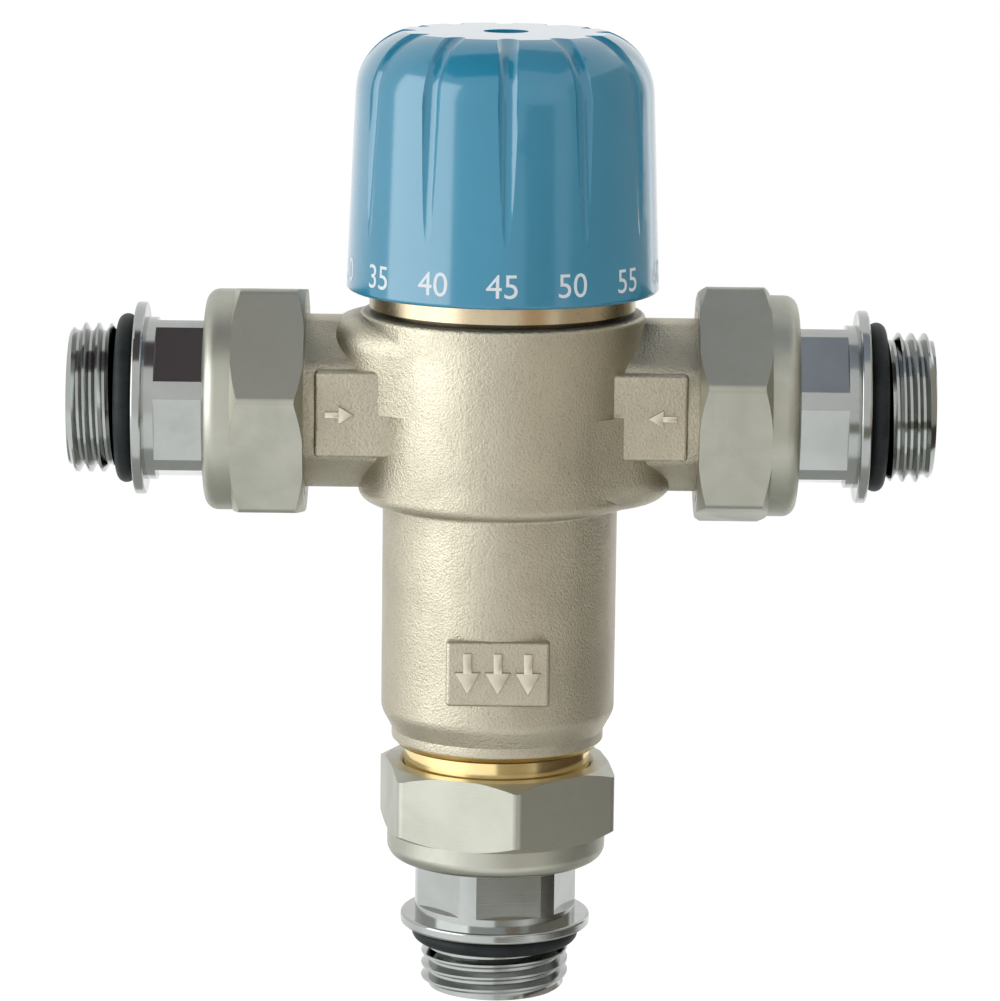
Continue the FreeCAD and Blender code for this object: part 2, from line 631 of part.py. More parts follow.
def cut_waterways(body):
    """Stepped main bore, arm bores and the two galleries that offset the inlets up and down."""
    main_bore = [
        ("0", "barrel_top"),
        ("bonnet_thread_radius + thread_gap", "barrel_top"),
        ("bonnet_thread_radius + thread_gap", "chamber_top"),
        ("chamber_radius", "chamber_top"),
        ("chamber_radius", "land_top"),
        ("land_radius", "land_top"),
        ("land_radius", "seal_groove_top"),
        ("seal_groove_radius", "seal_groove_top"),
        ("seal_groove_radius", "seal_groove_bottom"),
        ("land_radius", "seal_groove_bottom"),
        ("land_radius", "land_bottom"),
        ("chamber_radius", "land_bottom"),
        ("chamber_radius", "hot_port_face"),
        ("hot_port_radius", "hot_port_face"),
        ("hot_port_radius", "hot_port_end"),
        ("mixing_radius", "hot_port_end"),
        ("mixing_radius", "mixing_end"),
        ("outlet_radius", "mixing_end"),
        ("outlet_radius", "tail_end - axis_height - union_depth"),
        ("0", "tail_end - axis_height - union_depth"),
    ]
    turned(body, "main_bore", outline(body, "main_bore_profile", "XZ_Plane", main_bore), cut=True)
    arm_bores = sketch_on(body, "arm_bore_profile", "XZ_Plane")
    for side in ("-1", "1"):
        mouth = f"{side} * (arm_reach + union_depth)"
        add_outline(arm_bores, rectangle(f"{side} * arm_bore_end", "0", mouth, "arm_bore_radius"))
    turned(body, "arm_bores", arm_bores, axis="H_Axis", cut=True)
    galleries = sketch_on(body, "gallery_profile", "XZ_Plane")
    add_outline(galleries, rectangle("- gallery_outer", "land_top + gallery_margin",
                                     "- gallery_inner", "chamber_top - gallery_margin"))
    add_outline(galleries, rectangle("gallery_inner", "hot_port_face + gallery_margin",
                                     "gallery_outer", "land_bottom - gallery_margin"))
    extruded(body, "galleries", galleries, "2 * gallery_half_width", cut=True, middle=True)


# ---------------------------------------------------------------- unions


def build_union_nut(label, turn):
    """Union nut: hexagon with turned corners, round collar and an inward lip."""
    body = new_body(label)
    extruded(body, "hexagon", outline(body, "hexagon_outline", "XY_Plane", hexagon("nut_flats", turn)),
             "nut_hex_length")
    round_edges(body, "long_edges", lambda edge: edge.BoundBox.ZLength > 1e-3, "nut_corner_round")
    corner = "nut_flats / sqrt(3) + cutter_margin"
    drop = f"nut_chamfer_slope * ({corner} - nut_chamfer_radius)"
    chamfers = sketch_on(body, "corner_chamfers", "XZ_Plane")
    add_outline(chamfers, [("nut_chamfer_radius", "0"), (corner, "0"), (corner, drop)])
    add_outline(chamfers, [("nut_chamfer_radius", "nut_hex_length"),
                           (corner, f"nut_hex_length - ({drop})"), (corner, "nut_hex_length")])
    turned(body, "corner_turning", chamfers, cut=True)
    collar = circles(body, "collar_section", "XY_Plane", [("0", "0", "nut_collar_radius")], "nut_hex_length")
    extruded(body, "collar", collar, "nut_length - nut_hex_length")
    round_edges(body, "collar_round", circle_at("nut_collar_radius", "nut_length"), "nut_edge_round")
    bore = [
        ("0", "0"),
        ("nut_bore_radius + nut_lead_in", "0"),
        ("nut_bore_radius", "nut_lead_in"),
        ("nut_bore_radius", "nut_lip"),
        ("nut_mouth_radius", "nut_lip"),
        ("nut_mouth_radius", "nut_length"),
        ("0", "nut_length"),
    ]
    turned(body, "thread_bore", outline(body, "bore_profile", "XZ_Plane", bore), cut=True)
    return body


def build_tailpiece(label, turn, has_strainer):
    """Tail of a union: sealing flange, hexagon shank, collar, washer seat, relief and male thread."""
    body = new_body(label)
    shank = outline(body, "shank_outline", "XY_Plane", hexagon("shank_flats", turn), "gasket_end")
    extruded(body, "shank", shank, "shank_end - gasket_end")
    trimmed = rectangle("shank_radius", "gasket_end - cutter_margin",
                        "shank_flats", "shank_end + cutter_margin")
    turned(body, "corner_turning", outline(body, "corner_profile", "XZ_Plane", trimmed), cut=True)
    turned(body, "flange", outline(body, "flange_profile", "XZ_Plane",
                                   rectangle("0", "gasket_end", "gasket_radius", "flange_end")))
    threaded_end = [
        ("0", "shank_end - cutter_margin"),
        ("shank_flats / 2", "shank_end - cutter_margin"),
        ("shank_flats / 2", "shank_end"),
        ("tail_collar_radius", "shank_end"),
        ("tail_collar_radius", "tail_collar_end"),
        ("washer_spigot_radius", "tail_collar_end"),
        ("washer_spigot_radius", "washer_end"),
        ("relief_radius", "washer_end"),
        ("relief_radius", "relief_end"),
        ("tail_thread_radius", "relief_end"),
        ("tail_thread_radius", "tail_end - tail_chamfer"),
        ("tail_thread_radius - tail_chamfer", "tail_end"),
        ("0", "tail_end"),
    ]
    turned(body, "threaded_end", outline(body, "threaded_end_profile", "XZ_Plane", threaded_end))
    recess = "strainer_seat_radius" if has_strainer else "tail_bore_radius + tail_chamfer"
    depth = "strainer_depth" if has_strainer else "tail_chamfer"
    waterway = [
        ("0", "gasket_end"),
        (recess, "gasket_end"),
        (recess if has_strainer else "tail_bore_radius", f"gasket_end + {depth}"),
        ("tail_bore_radius", f"gasket_end + {depth}"),
        ("tail_bore_radius", "tail_end - tail_chamfer"),
        ("tail_bore_radius + tail_chamfer", "tail_end"),
        ("0", "tail_end"),
    ]
    if not has_strainer:
        del waterway[3]
    turned(body, "waterway", outline(body, "waterway_profile", "XZ_Plane", waterway), cut=True)
    return body


def build_gasket(label):
    """Flat ring between the casting and the tail."""
    body = new_body(label)
    ring = rectangle("gasket_bore_radius", "union_depth", "gasket_radius", "gasket_end")
    turned(body, "ring", outline(body, "ring_profile", "XZ_Plane", ring))
    return body


def build_backing_washer(label):
    """Flat metal ring that backs the O-ring, with softened edges."""
    body = new_body(label)
    ring = rectangle("washer_spigot_radius + thread_gap", "tail_collar_end", "washer_radius", "washer_end")
    turned(body, "ring", outline(body, "ring_profile", "XZ_Plane", ring))
    rims = [circle_at("washer_radius", "tail_collar_end"), circle_at("washer_radius", "washer_end")]
    round_edges(body, "rim_rounds", lambda edge: any(rim(edge) for rim in rims), "washer_round")
    return body


def build_o_ring(label, mean_radius, section_radius, height):
    """An O-ring about the body's Z at a height."""
    body = new_body(label)
    section = circles(body, "section", "XZ_Plane", [(mean_radius, height, section_radius)])
    turned(body, "ring", section)
    return body


def build_thread_seal(label):
    """O-ring in the thread relief of a tail."""
    return build_o_ring(label, "relief_radius + thread_seal_radius", "thread_seal_radius",
                        "(washer_end + relief_end) / 2")


def build_strainer(label):
    """Perforated disc in the tail's recess, with three rings of holes."""
    body = new_body(label)
    disc = rectangle("0", "gasket_end", "strainer_seat_radius - thread_gap", "gasket_end + strainer_sheet")
    turned(body, "disc", outline(body, "disc_profile", "XZ_Plane", disc))
    for ring, count in enumerate((6, 12, 18), start=1):
        hole = circles(body, f"hole_{ring}", "XY_Plane",
                       [(f"{ring} * strainer_ring_step", "0", "strainer_hole_radius")],
                       "gasket_end - cutter_margin")
        feature = extruded(body, f"drilling_{ring}", hole, "strainer_sheet + 2 * cutter_margin", cut=True,
                           reverse=True)
        around(body, f"holes_{ring}", [feature], count)
    return body


def build_check_housing(label):
    """Plastic cartridge with a port at one end and a three-armed guide at the other."""
    body = new_body(label)
    wall = [
        ("check_port_radius", "0"),
        ("check_radius", "0"),
        ("check_radius", "check_length"),
        ("check_bore_radius", "check_length"),
        ("check_bore_radius", "check_port_depth"),
        ("check_port_radius", "check_port_depth"),
    ]
    turned(body, "sleeve", outline(body, "sleeve_profile", "XZ_Plane", wall))
    arm = outline(body, "arm_outline", "XY_Plane",
                  rectangle("check_hub_radius - check_arm_overlap", "- check_arm_width / 2",
                            "check_bore_radius + check_arm_overlap", "check_arm_width / 2"),
                  "check_hub_start")
    feature = extruded(body, "guide_arm", arm, "check_length - check_hub_start")
    around(body, "guide_arms", [feature], 3)
    hub = rectangle("check_stem_radius + check_clearance", "check_hub_start",
                    "check_hub_radius", "check_length")
    turned(body, "hub", outline(body, "hub_profile", "XZ_Plane", hub))
    return body


def build_check_poppet(label):
    """Domed disc on a stem, which slides in the cartridge's guide."""
    body = new_body(label)
    poppet = [
        ("0", "check_disc_start - check_dome_rise - check_tip_rise"),
        ("check_tip_radius", "check_disc_start - check_dome_rise"),
        ("check_dome_radius", "check_disc_start"),
        ("check_disc_radius", "check_disc_start"),
        ("check_disc_radius", "check_disc_end - check_chamfer"),
        ("check_disc_radius - check_chamfer", "check_disc_end"),
        ("check_stem_radius", "check_disc_end"),
        ("check_stem_radius", "check_stem_end - check_chamfer"),
        ("check_stem_radius - check_chamfer", "check_stem_end"),
        ("0", "check_stem_end"),
    ]
    turned(body, "poppet", outline(body, "poppet_profile", "XZ_Plane", poppet))
    return body


def build_check_spring(label):
    """Light spring between the poppet's disc and the guide hub."""
    body = new_body(label)
    coil(body, "check_coil_radius", "check_wire", "check_disc_end", "check_hub_start",
         "check_coil_pitch")
    return body


# ---------------------------------------------------------------- bonnet and drive


def build_bonnet():
    """Cover screwed into the casting: cold port lip, rim, hexagon, boss, keyway and turning stop."""
    body = at_arms(new_body("bonnet"))
    profile = [
        ("0", "bonnet_end"),
        ("bonnet_seat_inner", "bonnet_end"),
        ("bonnet_seat_inner", "bonnet_seat_end"),
        ("bonnet_seat_outer", "bonnet_seat_end"),
        ("bonnet_seat_outer", "bonnet_end"),
        ("bonnet_thread_radius", "bonnet_end"),
        ("bonnet_thread_radius", "bonnet_relief_start"),
        ("bonnet_relief_radius", "bonnet_relief_start"),
        ("bonnet_relief_radius", "barrel_top"),
        ("bonnet_foot_radius", "barrel_top"),
        ("bonnet_foot_radius", "barrel_top + bonnet_seam"),
        ("bonnet_rim_radius", "barrel_top + bonnet_seam"),
        ("bonnet_rim_radius", "bonnet_rim_top"),
        ("bonnet_boss_radius", "bonnet_rim_top"),
        ("bonnet_boss_radius", "bonnet_top - bonnet_boss_chamfer"),
        ("bonnet_boss_radius - bonnet_boss_chamfer", "bonnet_top"),
        ("0", "bonnet_top"),
    ]
    turned(body, "cover", outline(body, "cover_profile", "XZ_Plane", profile))
    wrench = outline(body, "wrench_outline", "XY_Plane", hexagon("bonnet_flats"), "bonnet_rim_top")
    extruded(body, "wrench_hexagon", wrench, "bonnet_hex_top - bonnet_rim_top")
    stop = rectangle("stop_inner", "bonnet_hex_top - stop_overlap", "stop_outer", "stop_top")
    sketch = outline(body, "stop_profile", "YZ_Plane", stop)
    turned(body, "turning_stop", sketch, angle="stop_angle", middle=True)
    below = "bonnet_end - cutter_margin"
    keyway = outline(body, "keyway_outline", "XY_Plane", hexagon("keyway_flats"), below)
    extruded(body, "keyway", keyway, f"keyway_top - ({below})", cut=True, reverse=True)
    hole = circles(body, "spindle_hole_section", "XY_Plane", [("0", "0", "spindle_hole_radius")],
                   "keyway_top - cutter_margin")
    extruded(body, "spindle_hole", hole, "bonnet_top - keyway_top + 2 * cutter_margin", cut=True,
             reverse=True)
    return body


def build_spindle():
    """Adjusting spindle: drive thread, thrust collar, sealed shaft, ring groove and hexagon end."""
    body = at_arms(new_body("adjusting_spindle"))
    profile = [
        ("0", "drive_bottom"),
        ("drive_radius - drive_chamfer", "drive_bottom"),
        ("drive_radius", "drive_bottom + drive_chamfer"),
        ("drive_radius", "thrust_bottom"),
        ("thrust_radius", "thrust_bottom"),
        ("thrust_radius", "thrust_top"),
        ("shaft_radius", "thrust_top"),
        ("shaft_radius", "shaft_seal_bottom"),
        ("shaft_seal_groove", "shaft_seal_bottom"),
        ("shaft_seal_groove", "shaft_seal_top"),
        ("shaft_radius", "shaft_seal_top"),
        ("shaft_radius", "clip_groove_bottom"),
        ("clip_groove_radius", "clip_groove_bottom"),
        ("clip_groove_radius", "clip_groove_top"),
        ("shaft_radius", "clip_groove_top"),
        ("shaft_radius", "shaft_top"),
        ("0", "shaft_top"),
    ]
    turned(body, "shaft", outline(body, "shaft_profile", "XZ_Plane", profile))
    end = outline(body, "hexagon_outline", "XY_Plane", hexagon("drive_hex_flats"), "shaft_top")
    extruded(body, "hexagon_end", end, "spindle_top - shaft_top")
    hole = circles(body, "tapped_hole_section", "XY_Plane", [("0", "0", "screw_radius + thread_gap")],
                   "spindle_top")
    extruded(body, "tapped_hole", hole, "screw_depth", cut=True)
    return body


def build_plunger():
    """Setting plunger: hexagon slider with the drive thread above and the overtravel bore below."""
    body = at_arms(new_body("setting_plunger"))
    section = outline(body, "hexagon_outline", "XY_Plane", hexagon("plunger_flats"), "plunger_bottom")
    extruded(body, "hexagon", section, "plunger_top - plunger_bottom")
    bores = sketch_on(body, "bore_profile", "XZ_Plane")
    add_outline(bores, rectangle("0", "plunger_thread_bottom", "plunger_thread_radius", "plunger_top"))
    add_outline(bores, [
        ("0", "plunger_bottom"),
        ("cup_bore_radius", "plunger_bottom"),
        ("cup_bore_radius", "cup_clip_bottom"),
        ("cup_clip_groove", "cup_clip_bottom"),
        ("cup_clip_groove", "cup_clip_top"),
        ("cup_bore_radius", "cup_clip_top"),
        ("cup_bore_radius", "cup_bore_top"),
        ("0", "cup_bore_top"),
    ])
    turned(body, "bores", bores, cut=True)
    return body


def plain_turning(label, profile):
    """A piece of the valve turned from one profile about the valve's axis."""
    body = at_arms(new_body(label))
    turned(body, "turning", outline(body, "turning_profile", "XZ_Plane", profile))
    return body


def build_cup():
    """Overtravel cup: disc under the spring with a nose that centres it."""
    return plain_turning("overtravel_cup", [
        ("0", "cup_bottom"),
        ("cup_radius", "cup_bottom"),
        ("cup_radius", "cup_top"),
        ("cup_nose_radius", "cup_top"),
        ("cup_nose_radius - cup_nose_taper", "cup_nose_top"),
        ("0", "cup_nose_top"),
    ])


def build_push_rod():
    """Thrust rod between the cup and the wax."""
    return plain_turning("push_rod", [
        ("0", "rod_bottom"),
        ("rod_radius - rod_chamfer", "rod_bottom"),
        ("rod_radius", "rod_bottom + rod_chamfer"),
        ("rod_radius", "cup_bottom"),
        ("0", "cup_bottom"),
    ])


def build_wax_element():
    """Temperature-sensing element: guide stem, flange and bulb around a blind bore."""
    body = plain_turning("wax_element", [
        ("0", "bulb_bottom"),
        ("bulb_radius", "bulb_bottom"),
        ("bulb_radius", "hub_top"),
        ("element_flange_radius", "hub_top"),
        ("element_flange_radius", "element_flange_top"),
        ("stem_radius", "element_flange_top"),
        ("stem_radius", "stem_top"),
        ("rod_bore_radius", "stem_top"),
        ("rod_bore_radius", "rod_bore_bottom"),
        ("0", "rod_bore_bottom"),
    ])
    round_edges(body, "bulb_end", circle_at("bulb_radius", "bulb_bottom"), "bulb_round")
    return body


def build_shuttle():
    """Mixing shuttle: sleeve with a closing edge at each end and a spoked hub for the element."""
    body = at_arms(new_body("mixing_shuttle"))
    sleeve = rectangle("shuttle_bore", "shuttle_bottom", "shuttle_radius", "shuttle_top")
    turned(body, "sleeve", outline(body, "sleeve_profile", "XZ_Plane", sleeve))
    spoke = outline(body, "spoke_outline", "XY_Plane",
                    rectangle("hub_radius - spoke_overlap", "- spoke_width / 2",
                              "shuttle_bore + spoke_overlap", "spoke_width / 2"),
                    "hub_bottom")
    feature = extruded(body, "spoke", spoke, "hub_top - hub_bottom")
    around(body, "spokes", [feature], 3)
    hub = rectangle("hub_bore", "hub_bottom", "hub_radius", "hub_top")
    turned(body, "hub", outline(body, "hub_profile", "XZ_Plane", hub))
    return body


# ---------------------------------------------------------------- knob


def build_knob():
    """Hollow moulded knob: tapered skirt, rounded shoulder, fading grips, hub, ribs and stop."""
    body = at_arms(new_body("control_knob"))
    skin = knob_section(body, "outer_profile", "0")
    turned(body, "outer_form", skin)
    round_edges(body, "base_round", circle_at("knob_base_radius", "knob_bottom"), "knob_edge_round")
    cut_grips(body)
    inner = knob_section(body, "inner_profile", "knob_wall")
    turned(body, "hollow", inner, cut=True)
    hub = circles(body, "hub_section", "XY_Plane", [("0", "0", "hub_knob_radius")], "hub_knob_bottom")
    extruded(body, "hub", hub, "hub_knob_top - hub_knob_bottom")
    rib = outline(body, "rib_outline", "XZ_Plane", rectangle("0", "rib_bottom", "rib_reach", "rib_top"))
    feature = extruded(body, "rib", rib, "rib_width", middle=True)
    around(body, "ribs", [feature], 6)
    stop = rectangle("knob_stop_inner", "knob_stop_bottom", "knob_stop_outer", "stop_top")
    sketch = outline(body, "stop_profile", "YZ_Plane", [(f"- ({x})", y) for x, y in stop])
    turned(body, "turning_stop", sketch, angle="stop_angle", middle=True)
    below = "hub_knob_bottom - cutter_margin"
    socket = outline(body, "socket_outline", "XY_Plane", hexagon("hub_socket_flats"), below)
    extruded(body, "socket", socket, f"hub_socket_end - ({below})", cut=True, reverse=True)
    recess = sketch_on(body, "screw_recess_profile", "XZ_Plane")
    add_outline(recess, [
        ("0", "spindle_top"),
        ("screw_radius + screw_side_gap", "spindle_top"),
        ("screw_radius + screw_side_gap", "screw_floor"),
        ("screw_recess_radius", "screw_floor"),
        ("screw_recess_radius", "knob_top + cutter_margin"),
        ("0", "knob_top + cutter_margin"),
    ])
    turned(body, "screw_recess", recess, cut=True)
    return body


def knob_section(body, name, wall):
    """Half section of the knob's form, moved inwards by a wall thickness."""
    sketch = sketch_on(body, name, "XZ_Plane")
    base = (f"knob_base_radius - ({wall})", "knob_bottom")
    waist = (f"knob_waist_radius - ({wall})", "knob_waist")
    crown = ("knob_top_radius", f"knob_top - ({wall})")
    bottom = ("0", "knob_bottom")
    top = ("0", f"knob_top - ({wall})")
    corner = {key: FreeCAD.Vector(value(x), value(y), 0)
              for key, (x, y) in {"base": base, "waist": waist, "crown": crown, "bottom": bottom,
                                  "top": top}.items()}
    across = corner["crown"] - corner["waist"]
    outward = FreeCAD.Vector(across.y, -across.x, 0).normalize()
    sketch.addGeometry(Part.LineSegment(corner["bottom"], corner["base"]))
    sketch.addGeometry(Part.LineSegment(corner["base"], corner["waist"]))
    middle = (corner["waist"] + corner["crown"]) / 2 + outward * value("knob_bulge") * across.Length
    sketch.addGeometry(Part.Arc(corner["waist"], middle, corner["crown"]))
    sketch.addGeometry(Part.LineSegment(corner["crown"], corner["top"]))
    sketch.addGeometry(Part.LineSegment(corner["top"], corner["bottom"]))
    sketch.addConstraint(Sketcher.Constraint("Coincident", 0, 2, 1, 1))
    sketch.addConstraint(Sketcher.Constraint("Tangent", 1, 2, 2, 1))
    sketch.addConstraint(Sketcher.Constraint("Coincident", 2, 2, 3, 1))
    sketch.addConstraint(Sketcher.Constraint("Coincident", 3, 2, 4, 1))
    sketch.addConstraint(Sketcher.Constraint("Coincident", 4, 2, 0, 1))
    for geometry, point in ((0, bottom), (1, base), (3, crown), (4, top)):
        dimension(sketch, "DistanceX", geometry, 1, point[0])
        dimension(sketch, "DistanceY", geometry, 1, point[1])
    dimension(sketch, "DistanceX", 1, 2, waist[0])
    dimension(sketch, "DistanceY", 1, 2, waist[1])
    return sketch


def cut_grips(body):
    """Twelve narrow grooves, deepest over the shoulder and running out down the skirt."""
    radius = value("grip_radius")
    waist = value("knob_waist")
    slope = (value("knob_waist_radius") - value("knob_base_radius")) / (waist - value("knob_bottom"))
    foot_skin = value("knob_base_radius") + slope * (value("grip_fade") - value("knob_bottom"))
    foot = FreeCAD.Vector(foot_skin + radius + GRIP_START_GAP, value("grip_fade"), 0)
    knee = FreeCAD.Vector(value("knob_waist_radius") + radius - value("grip_depth"), waist, 0)
    bend = value("knob_top") - waist + radius - value("grip_depth")
    centre = FreeCAD.Vector(knee.x - bend, knee.y, 0)
    turn = math.radians(GRIP_BEND)
    middle = centre + FreeCAD.Vector(bend * math.cos(turn / 2), bend * math.sin(turn / 2), 0)
    crest = centre + FreeCAD.Vector(bend * math.cos(turn), bend * math.sin(turn), 0)
    leave = FreeCAD.Vector(-math.sin(turn), math.cos(turn), 0)
    path = sketch_on(body, "grip_path", "XZ_Plane")
    path.addGeometry(Part.LineSegment(foot, knee))
    path.addGeometry(Part.Arc(knee, middle, crest))
    path.addGeometry(Part.LineSegment(crest, crest + leave * GRIP_RUN_OUT))
    section = sketch_on(body, "grip_section", "XY_Plane", "grip_fade")
    section.addGeometry(Part.Circle(FreeCAD.Vector(foot.x, 0, 0), FreeCAD.Vector(0, 0, 1), radius))
    for sketch, axis in ((path, FreeCAD.Vector(0, 1, 0)), (section, FreeCAD.Vector(0, 0, 1))):
        base = sketch.AttachmentOffset.Base
        sketch.AttachmentOffset = FreeCAD.Placement(base, FreeCAD.Rotation(axis, value("grip_turn")))
    doc.recompute()
    groove = body.newObject("PartDesign::SubtractivePipe", "grip")
    groove.Profile = section
    groove.Spine = path
    finish_feature(body, groove)
    around(body, "grips", [groove], int(value("grip_count")))


def build_clip(label, inner, outer, bottom, top):
    """A retaining ring with a gap, so that it can be sprung into its groove."""
    body = at_arms(new_body(label))
    profile = rectangle(inner, bottom, outer, top)
    turned(body, "ring", outline(body, "ring_profile", "XZ_Plane", profile), angle="clip_angle")
    return body


def build_knob_screw():
    """Screw that holds the knob on the spindle, with a hexagon socket in its head."""
    body = at_arms(new_body("knob_screw"))
    profile = [
        ("0", "spindle_top - screw_depth + screw_tip_gap"),
        ("screw_radius", "spindle_top - screw_depth + screw_tip_gap"),
        ("screw_radius", "screw_floor"),
        ("screw_head_radius", "screw_floor"),
        ("screw_head_radius", "screw_head_top"),
        ("0", "screw_head_top"),
    ]
    turned(body, "screw", outline(body, "screw_profile", "XZ_Plane", profile))
    socket = outline(body, "socket_outline", "XY_Plane", hexagon("screw_socket_flats"), "screw_head_top")
    extruded(body, "socket", socket, "screw_socket_depth", cut=True)
    return body


def build_return_spring():
    """Spring that lifts the shuttle against the push rod."""
    body = at_arms(new_body("return_spring"))
    coil(body, "return_coil_radius", "return_wire", "mixing_end", "hub_bottom", "return_pitch")
    return body


def build_overtravel_spring():
    """Stiff short spring above the overtravel cup."""
    body = at_arms(new_body("overtravel_spring"))
    coil(body, "overtravel_coil_radius", "overtravel_wire", "cup_top", "cup_bore_top", "overtravel_pitch")
    return body


# ---------------------------------------------------------------- assembly


def build_union(port, has_strainer):
    """The loose pieces of one union, in its own frame: Z outwards from the nut's inner face."""
    pieces = [
        build_union_nut(f"union_nut_{port}", f"nut_turn_{port}"),
        build_tailpiece(f"tailpiece_{port}", f"shank_turn_{port}", has_strainer),
        build_gasket(f"union_gasket_{port}"),
        build_backing_washer(f"backing_washer_{port}"),
        build_thread_seal(f"thread_seal_{port}"),
    ]
    if has_strainer:
        pieces.append(build_strainer(f"strainer_{port}"))
    return pieces


def build_check_valve(port):
    """The three pieces of one check valve, in their own frame: Z inwards from the arm's end."""
    return [
        build_check_housing(f"check_housing_{port}"),
        build_check_poppet(f"check_poppet_{port}"),
        build_check_spring(f"check_spring_{port}"),
    ]


def put(pieces, turn_axis, degrees, along_x, along_z):
    """Place pieces by a turn about an axis and two bound coordinates."""
    for piece in pieces:
        piece.Placement = FreeCAD.Placement(FreeCAD.Vector(), FreeCAD.Rotation(turn_axis, degrees))
        piece.setExpression("Placement.Base.x", bound(along_x))
        piece.setExpression("Placement.Base.z", bound(along_z))


def build_all():
    """Every piece of the valve, placed."""
    across = FreeCAD.Vector(0, 1, 0)
    lengthwise = FreeCAD.Vector(1, 0, 0)
    pieces = [
        build_valve_body(),
        build_bonnet(),
        at_arms(build_o_ring("bonnet_seal", "bonnet_seal_mean", "large_seal_radius", "bonnet_seal_height")),
        build_spindle(),
        at_arms(build_o_ring("spindle_seal", "shaft_seal_mean", "shaft_seal_radius",
                             "(shaft_seal_bottom + shaft_seal_top) / 2")),
        build_clip("spindle_clip", "clip_groove_radius + thread_gap", "clip_radius",
                   "clip_groove_bottom + thread_gap", "clip_groove_top - thread_gap"),
        build_plunger(),
        build_cup(),
        build_overtravel_spring(),
        build_clip("overtravel_clip", "cup_clip_bore", "cup_clip_groove - thread_gap",
                   "cup_clip_bottom + thread_gap", "cup_clip_top - thread_gap"),
        build_push_rod(),
        build_wax_element(),
        build_shuttle(),
        at_arms(build_o_ring("shuttle_seal", "shuttle_seal_mean", "large_seal_radius",
                             "(seal_groove_top + seal_groove_bottom) / 2")),
        build_return_spring(),
        build_knob(),
        build_knob_screw(),
    ]
    sides = (("cold", across, -90, "- arm_reach", "axis_height", True),
             ("hot", across, 90, "arm_reach", "axis_height", True),
             ("mixed", lengthwise, 180, "0", "tail_end", False))
    for port, axis, degrees, along_x, along_z, is_inlet in sides:
        union = build_union(port, is_inlet)
        put(union, axis, degrees, along_x, along_z)
        pieces += union
        if is_inlet:
            check = build_check_valve(port)
            side = "-1" if port == "cold" else "1"
            put(check, axis, -degrees, f"{side} * (arm_reach + union_depth)", "axis_height")
            pieces += check
    return pieces


def check_and_write(pieces):
    """Stop on any failed object or bad solid, then write one STEP file for each piece."""
    doc.recompute()
    failed = [item.Label for item in doc.Objects if "Invalid" in item.State or "Error" in item.State]
    if failed:
        raise RuntimeError(f"failed objects: {failed}")
    for piece in pieces:
        shape = piece.Shape
        if shape.isNull() or not shape.isValid() or len(shape.Solids) != 1:
            raise RuntimeError(f"{piece.Label}: bad shape, {len(shape.Solids)} solids")
    os.makedirs("parts", exist_ok=True)
    for piece in pieces:
        piece.Shape.exportStep(f"parts/{piece.Label}.step")
        print(f"{piece.Label}: {piece.Shape.Volume:.0f} mm3")


fill_sheet()
check_and_write(build_all())
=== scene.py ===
"""Finishes, threads, marks and studio for a thermostatic mixing valve with three union tails."""

import math

import bmesh
import bpy
from bpy.props import FloatProperty, FloatVectorProperty, IntProperty, PointerProperty
from mathutils import Matrix, Vector


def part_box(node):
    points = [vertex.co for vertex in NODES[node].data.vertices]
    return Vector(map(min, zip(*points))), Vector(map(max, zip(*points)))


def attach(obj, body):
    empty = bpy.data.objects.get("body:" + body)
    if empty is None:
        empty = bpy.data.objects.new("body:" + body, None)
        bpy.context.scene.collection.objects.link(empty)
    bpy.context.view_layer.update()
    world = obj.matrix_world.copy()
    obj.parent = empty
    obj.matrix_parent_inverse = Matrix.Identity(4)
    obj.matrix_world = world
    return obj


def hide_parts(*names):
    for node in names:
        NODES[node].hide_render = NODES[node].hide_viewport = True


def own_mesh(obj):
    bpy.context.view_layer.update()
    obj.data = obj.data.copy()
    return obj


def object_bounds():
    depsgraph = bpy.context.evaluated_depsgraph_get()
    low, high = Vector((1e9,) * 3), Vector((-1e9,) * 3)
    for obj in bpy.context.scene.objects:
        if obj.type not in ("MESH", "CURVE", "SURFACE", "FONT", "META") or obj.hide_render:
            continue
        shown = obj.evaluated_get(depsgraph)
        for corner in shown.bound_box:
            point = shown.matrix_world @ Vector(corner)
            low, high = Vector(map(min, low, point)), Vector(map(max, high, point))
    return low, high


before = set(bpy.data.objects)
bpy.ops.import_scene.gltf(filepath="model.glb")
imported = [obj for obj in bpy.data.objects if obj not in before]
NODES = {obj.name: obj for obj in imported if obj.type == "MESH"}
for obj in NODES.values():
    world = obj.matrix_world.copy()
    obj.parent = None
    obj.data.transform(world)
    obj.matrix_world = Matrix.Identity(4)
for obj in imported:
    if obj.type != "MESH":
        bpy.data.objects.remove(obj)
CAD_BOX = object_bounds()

bl_info = {
    "name": "Mixing valve finishes",
    "version": (1, 0, 0),
    "blender": (4, 5, 0),
    "location": "View3D > Sidebar > Mixing valve",
    "description": "Plated, moulded and rubber finishes, pipe threads, marks and a studio for a mixing valve",
    "category": "Object",
}

PORTS = ("cold", "hot", "mixed")

MERGE_DISTANCE = 1e-6
CUT_TOLERANCE = 1e-7
PLACE_TOLERANCE = 1e-5


# Places taken from the frame

def middle(node):
    """Centre of a node's box."""
    low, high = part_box(node)
    return (low + high) / 2


ARMS_HEIGHT = middle("tailpiece_cold").z
KNOB_LOW, KNOB_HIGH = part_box("control_knob")
KNOB_FOOT_RADIUS = (KNOB_HIGH.y - KNOB_LOW.y) / 2
CASTING_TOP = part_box("valve_body")[1].z
MIXED_NUT_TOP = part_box("union_nut_mixed")[1].z


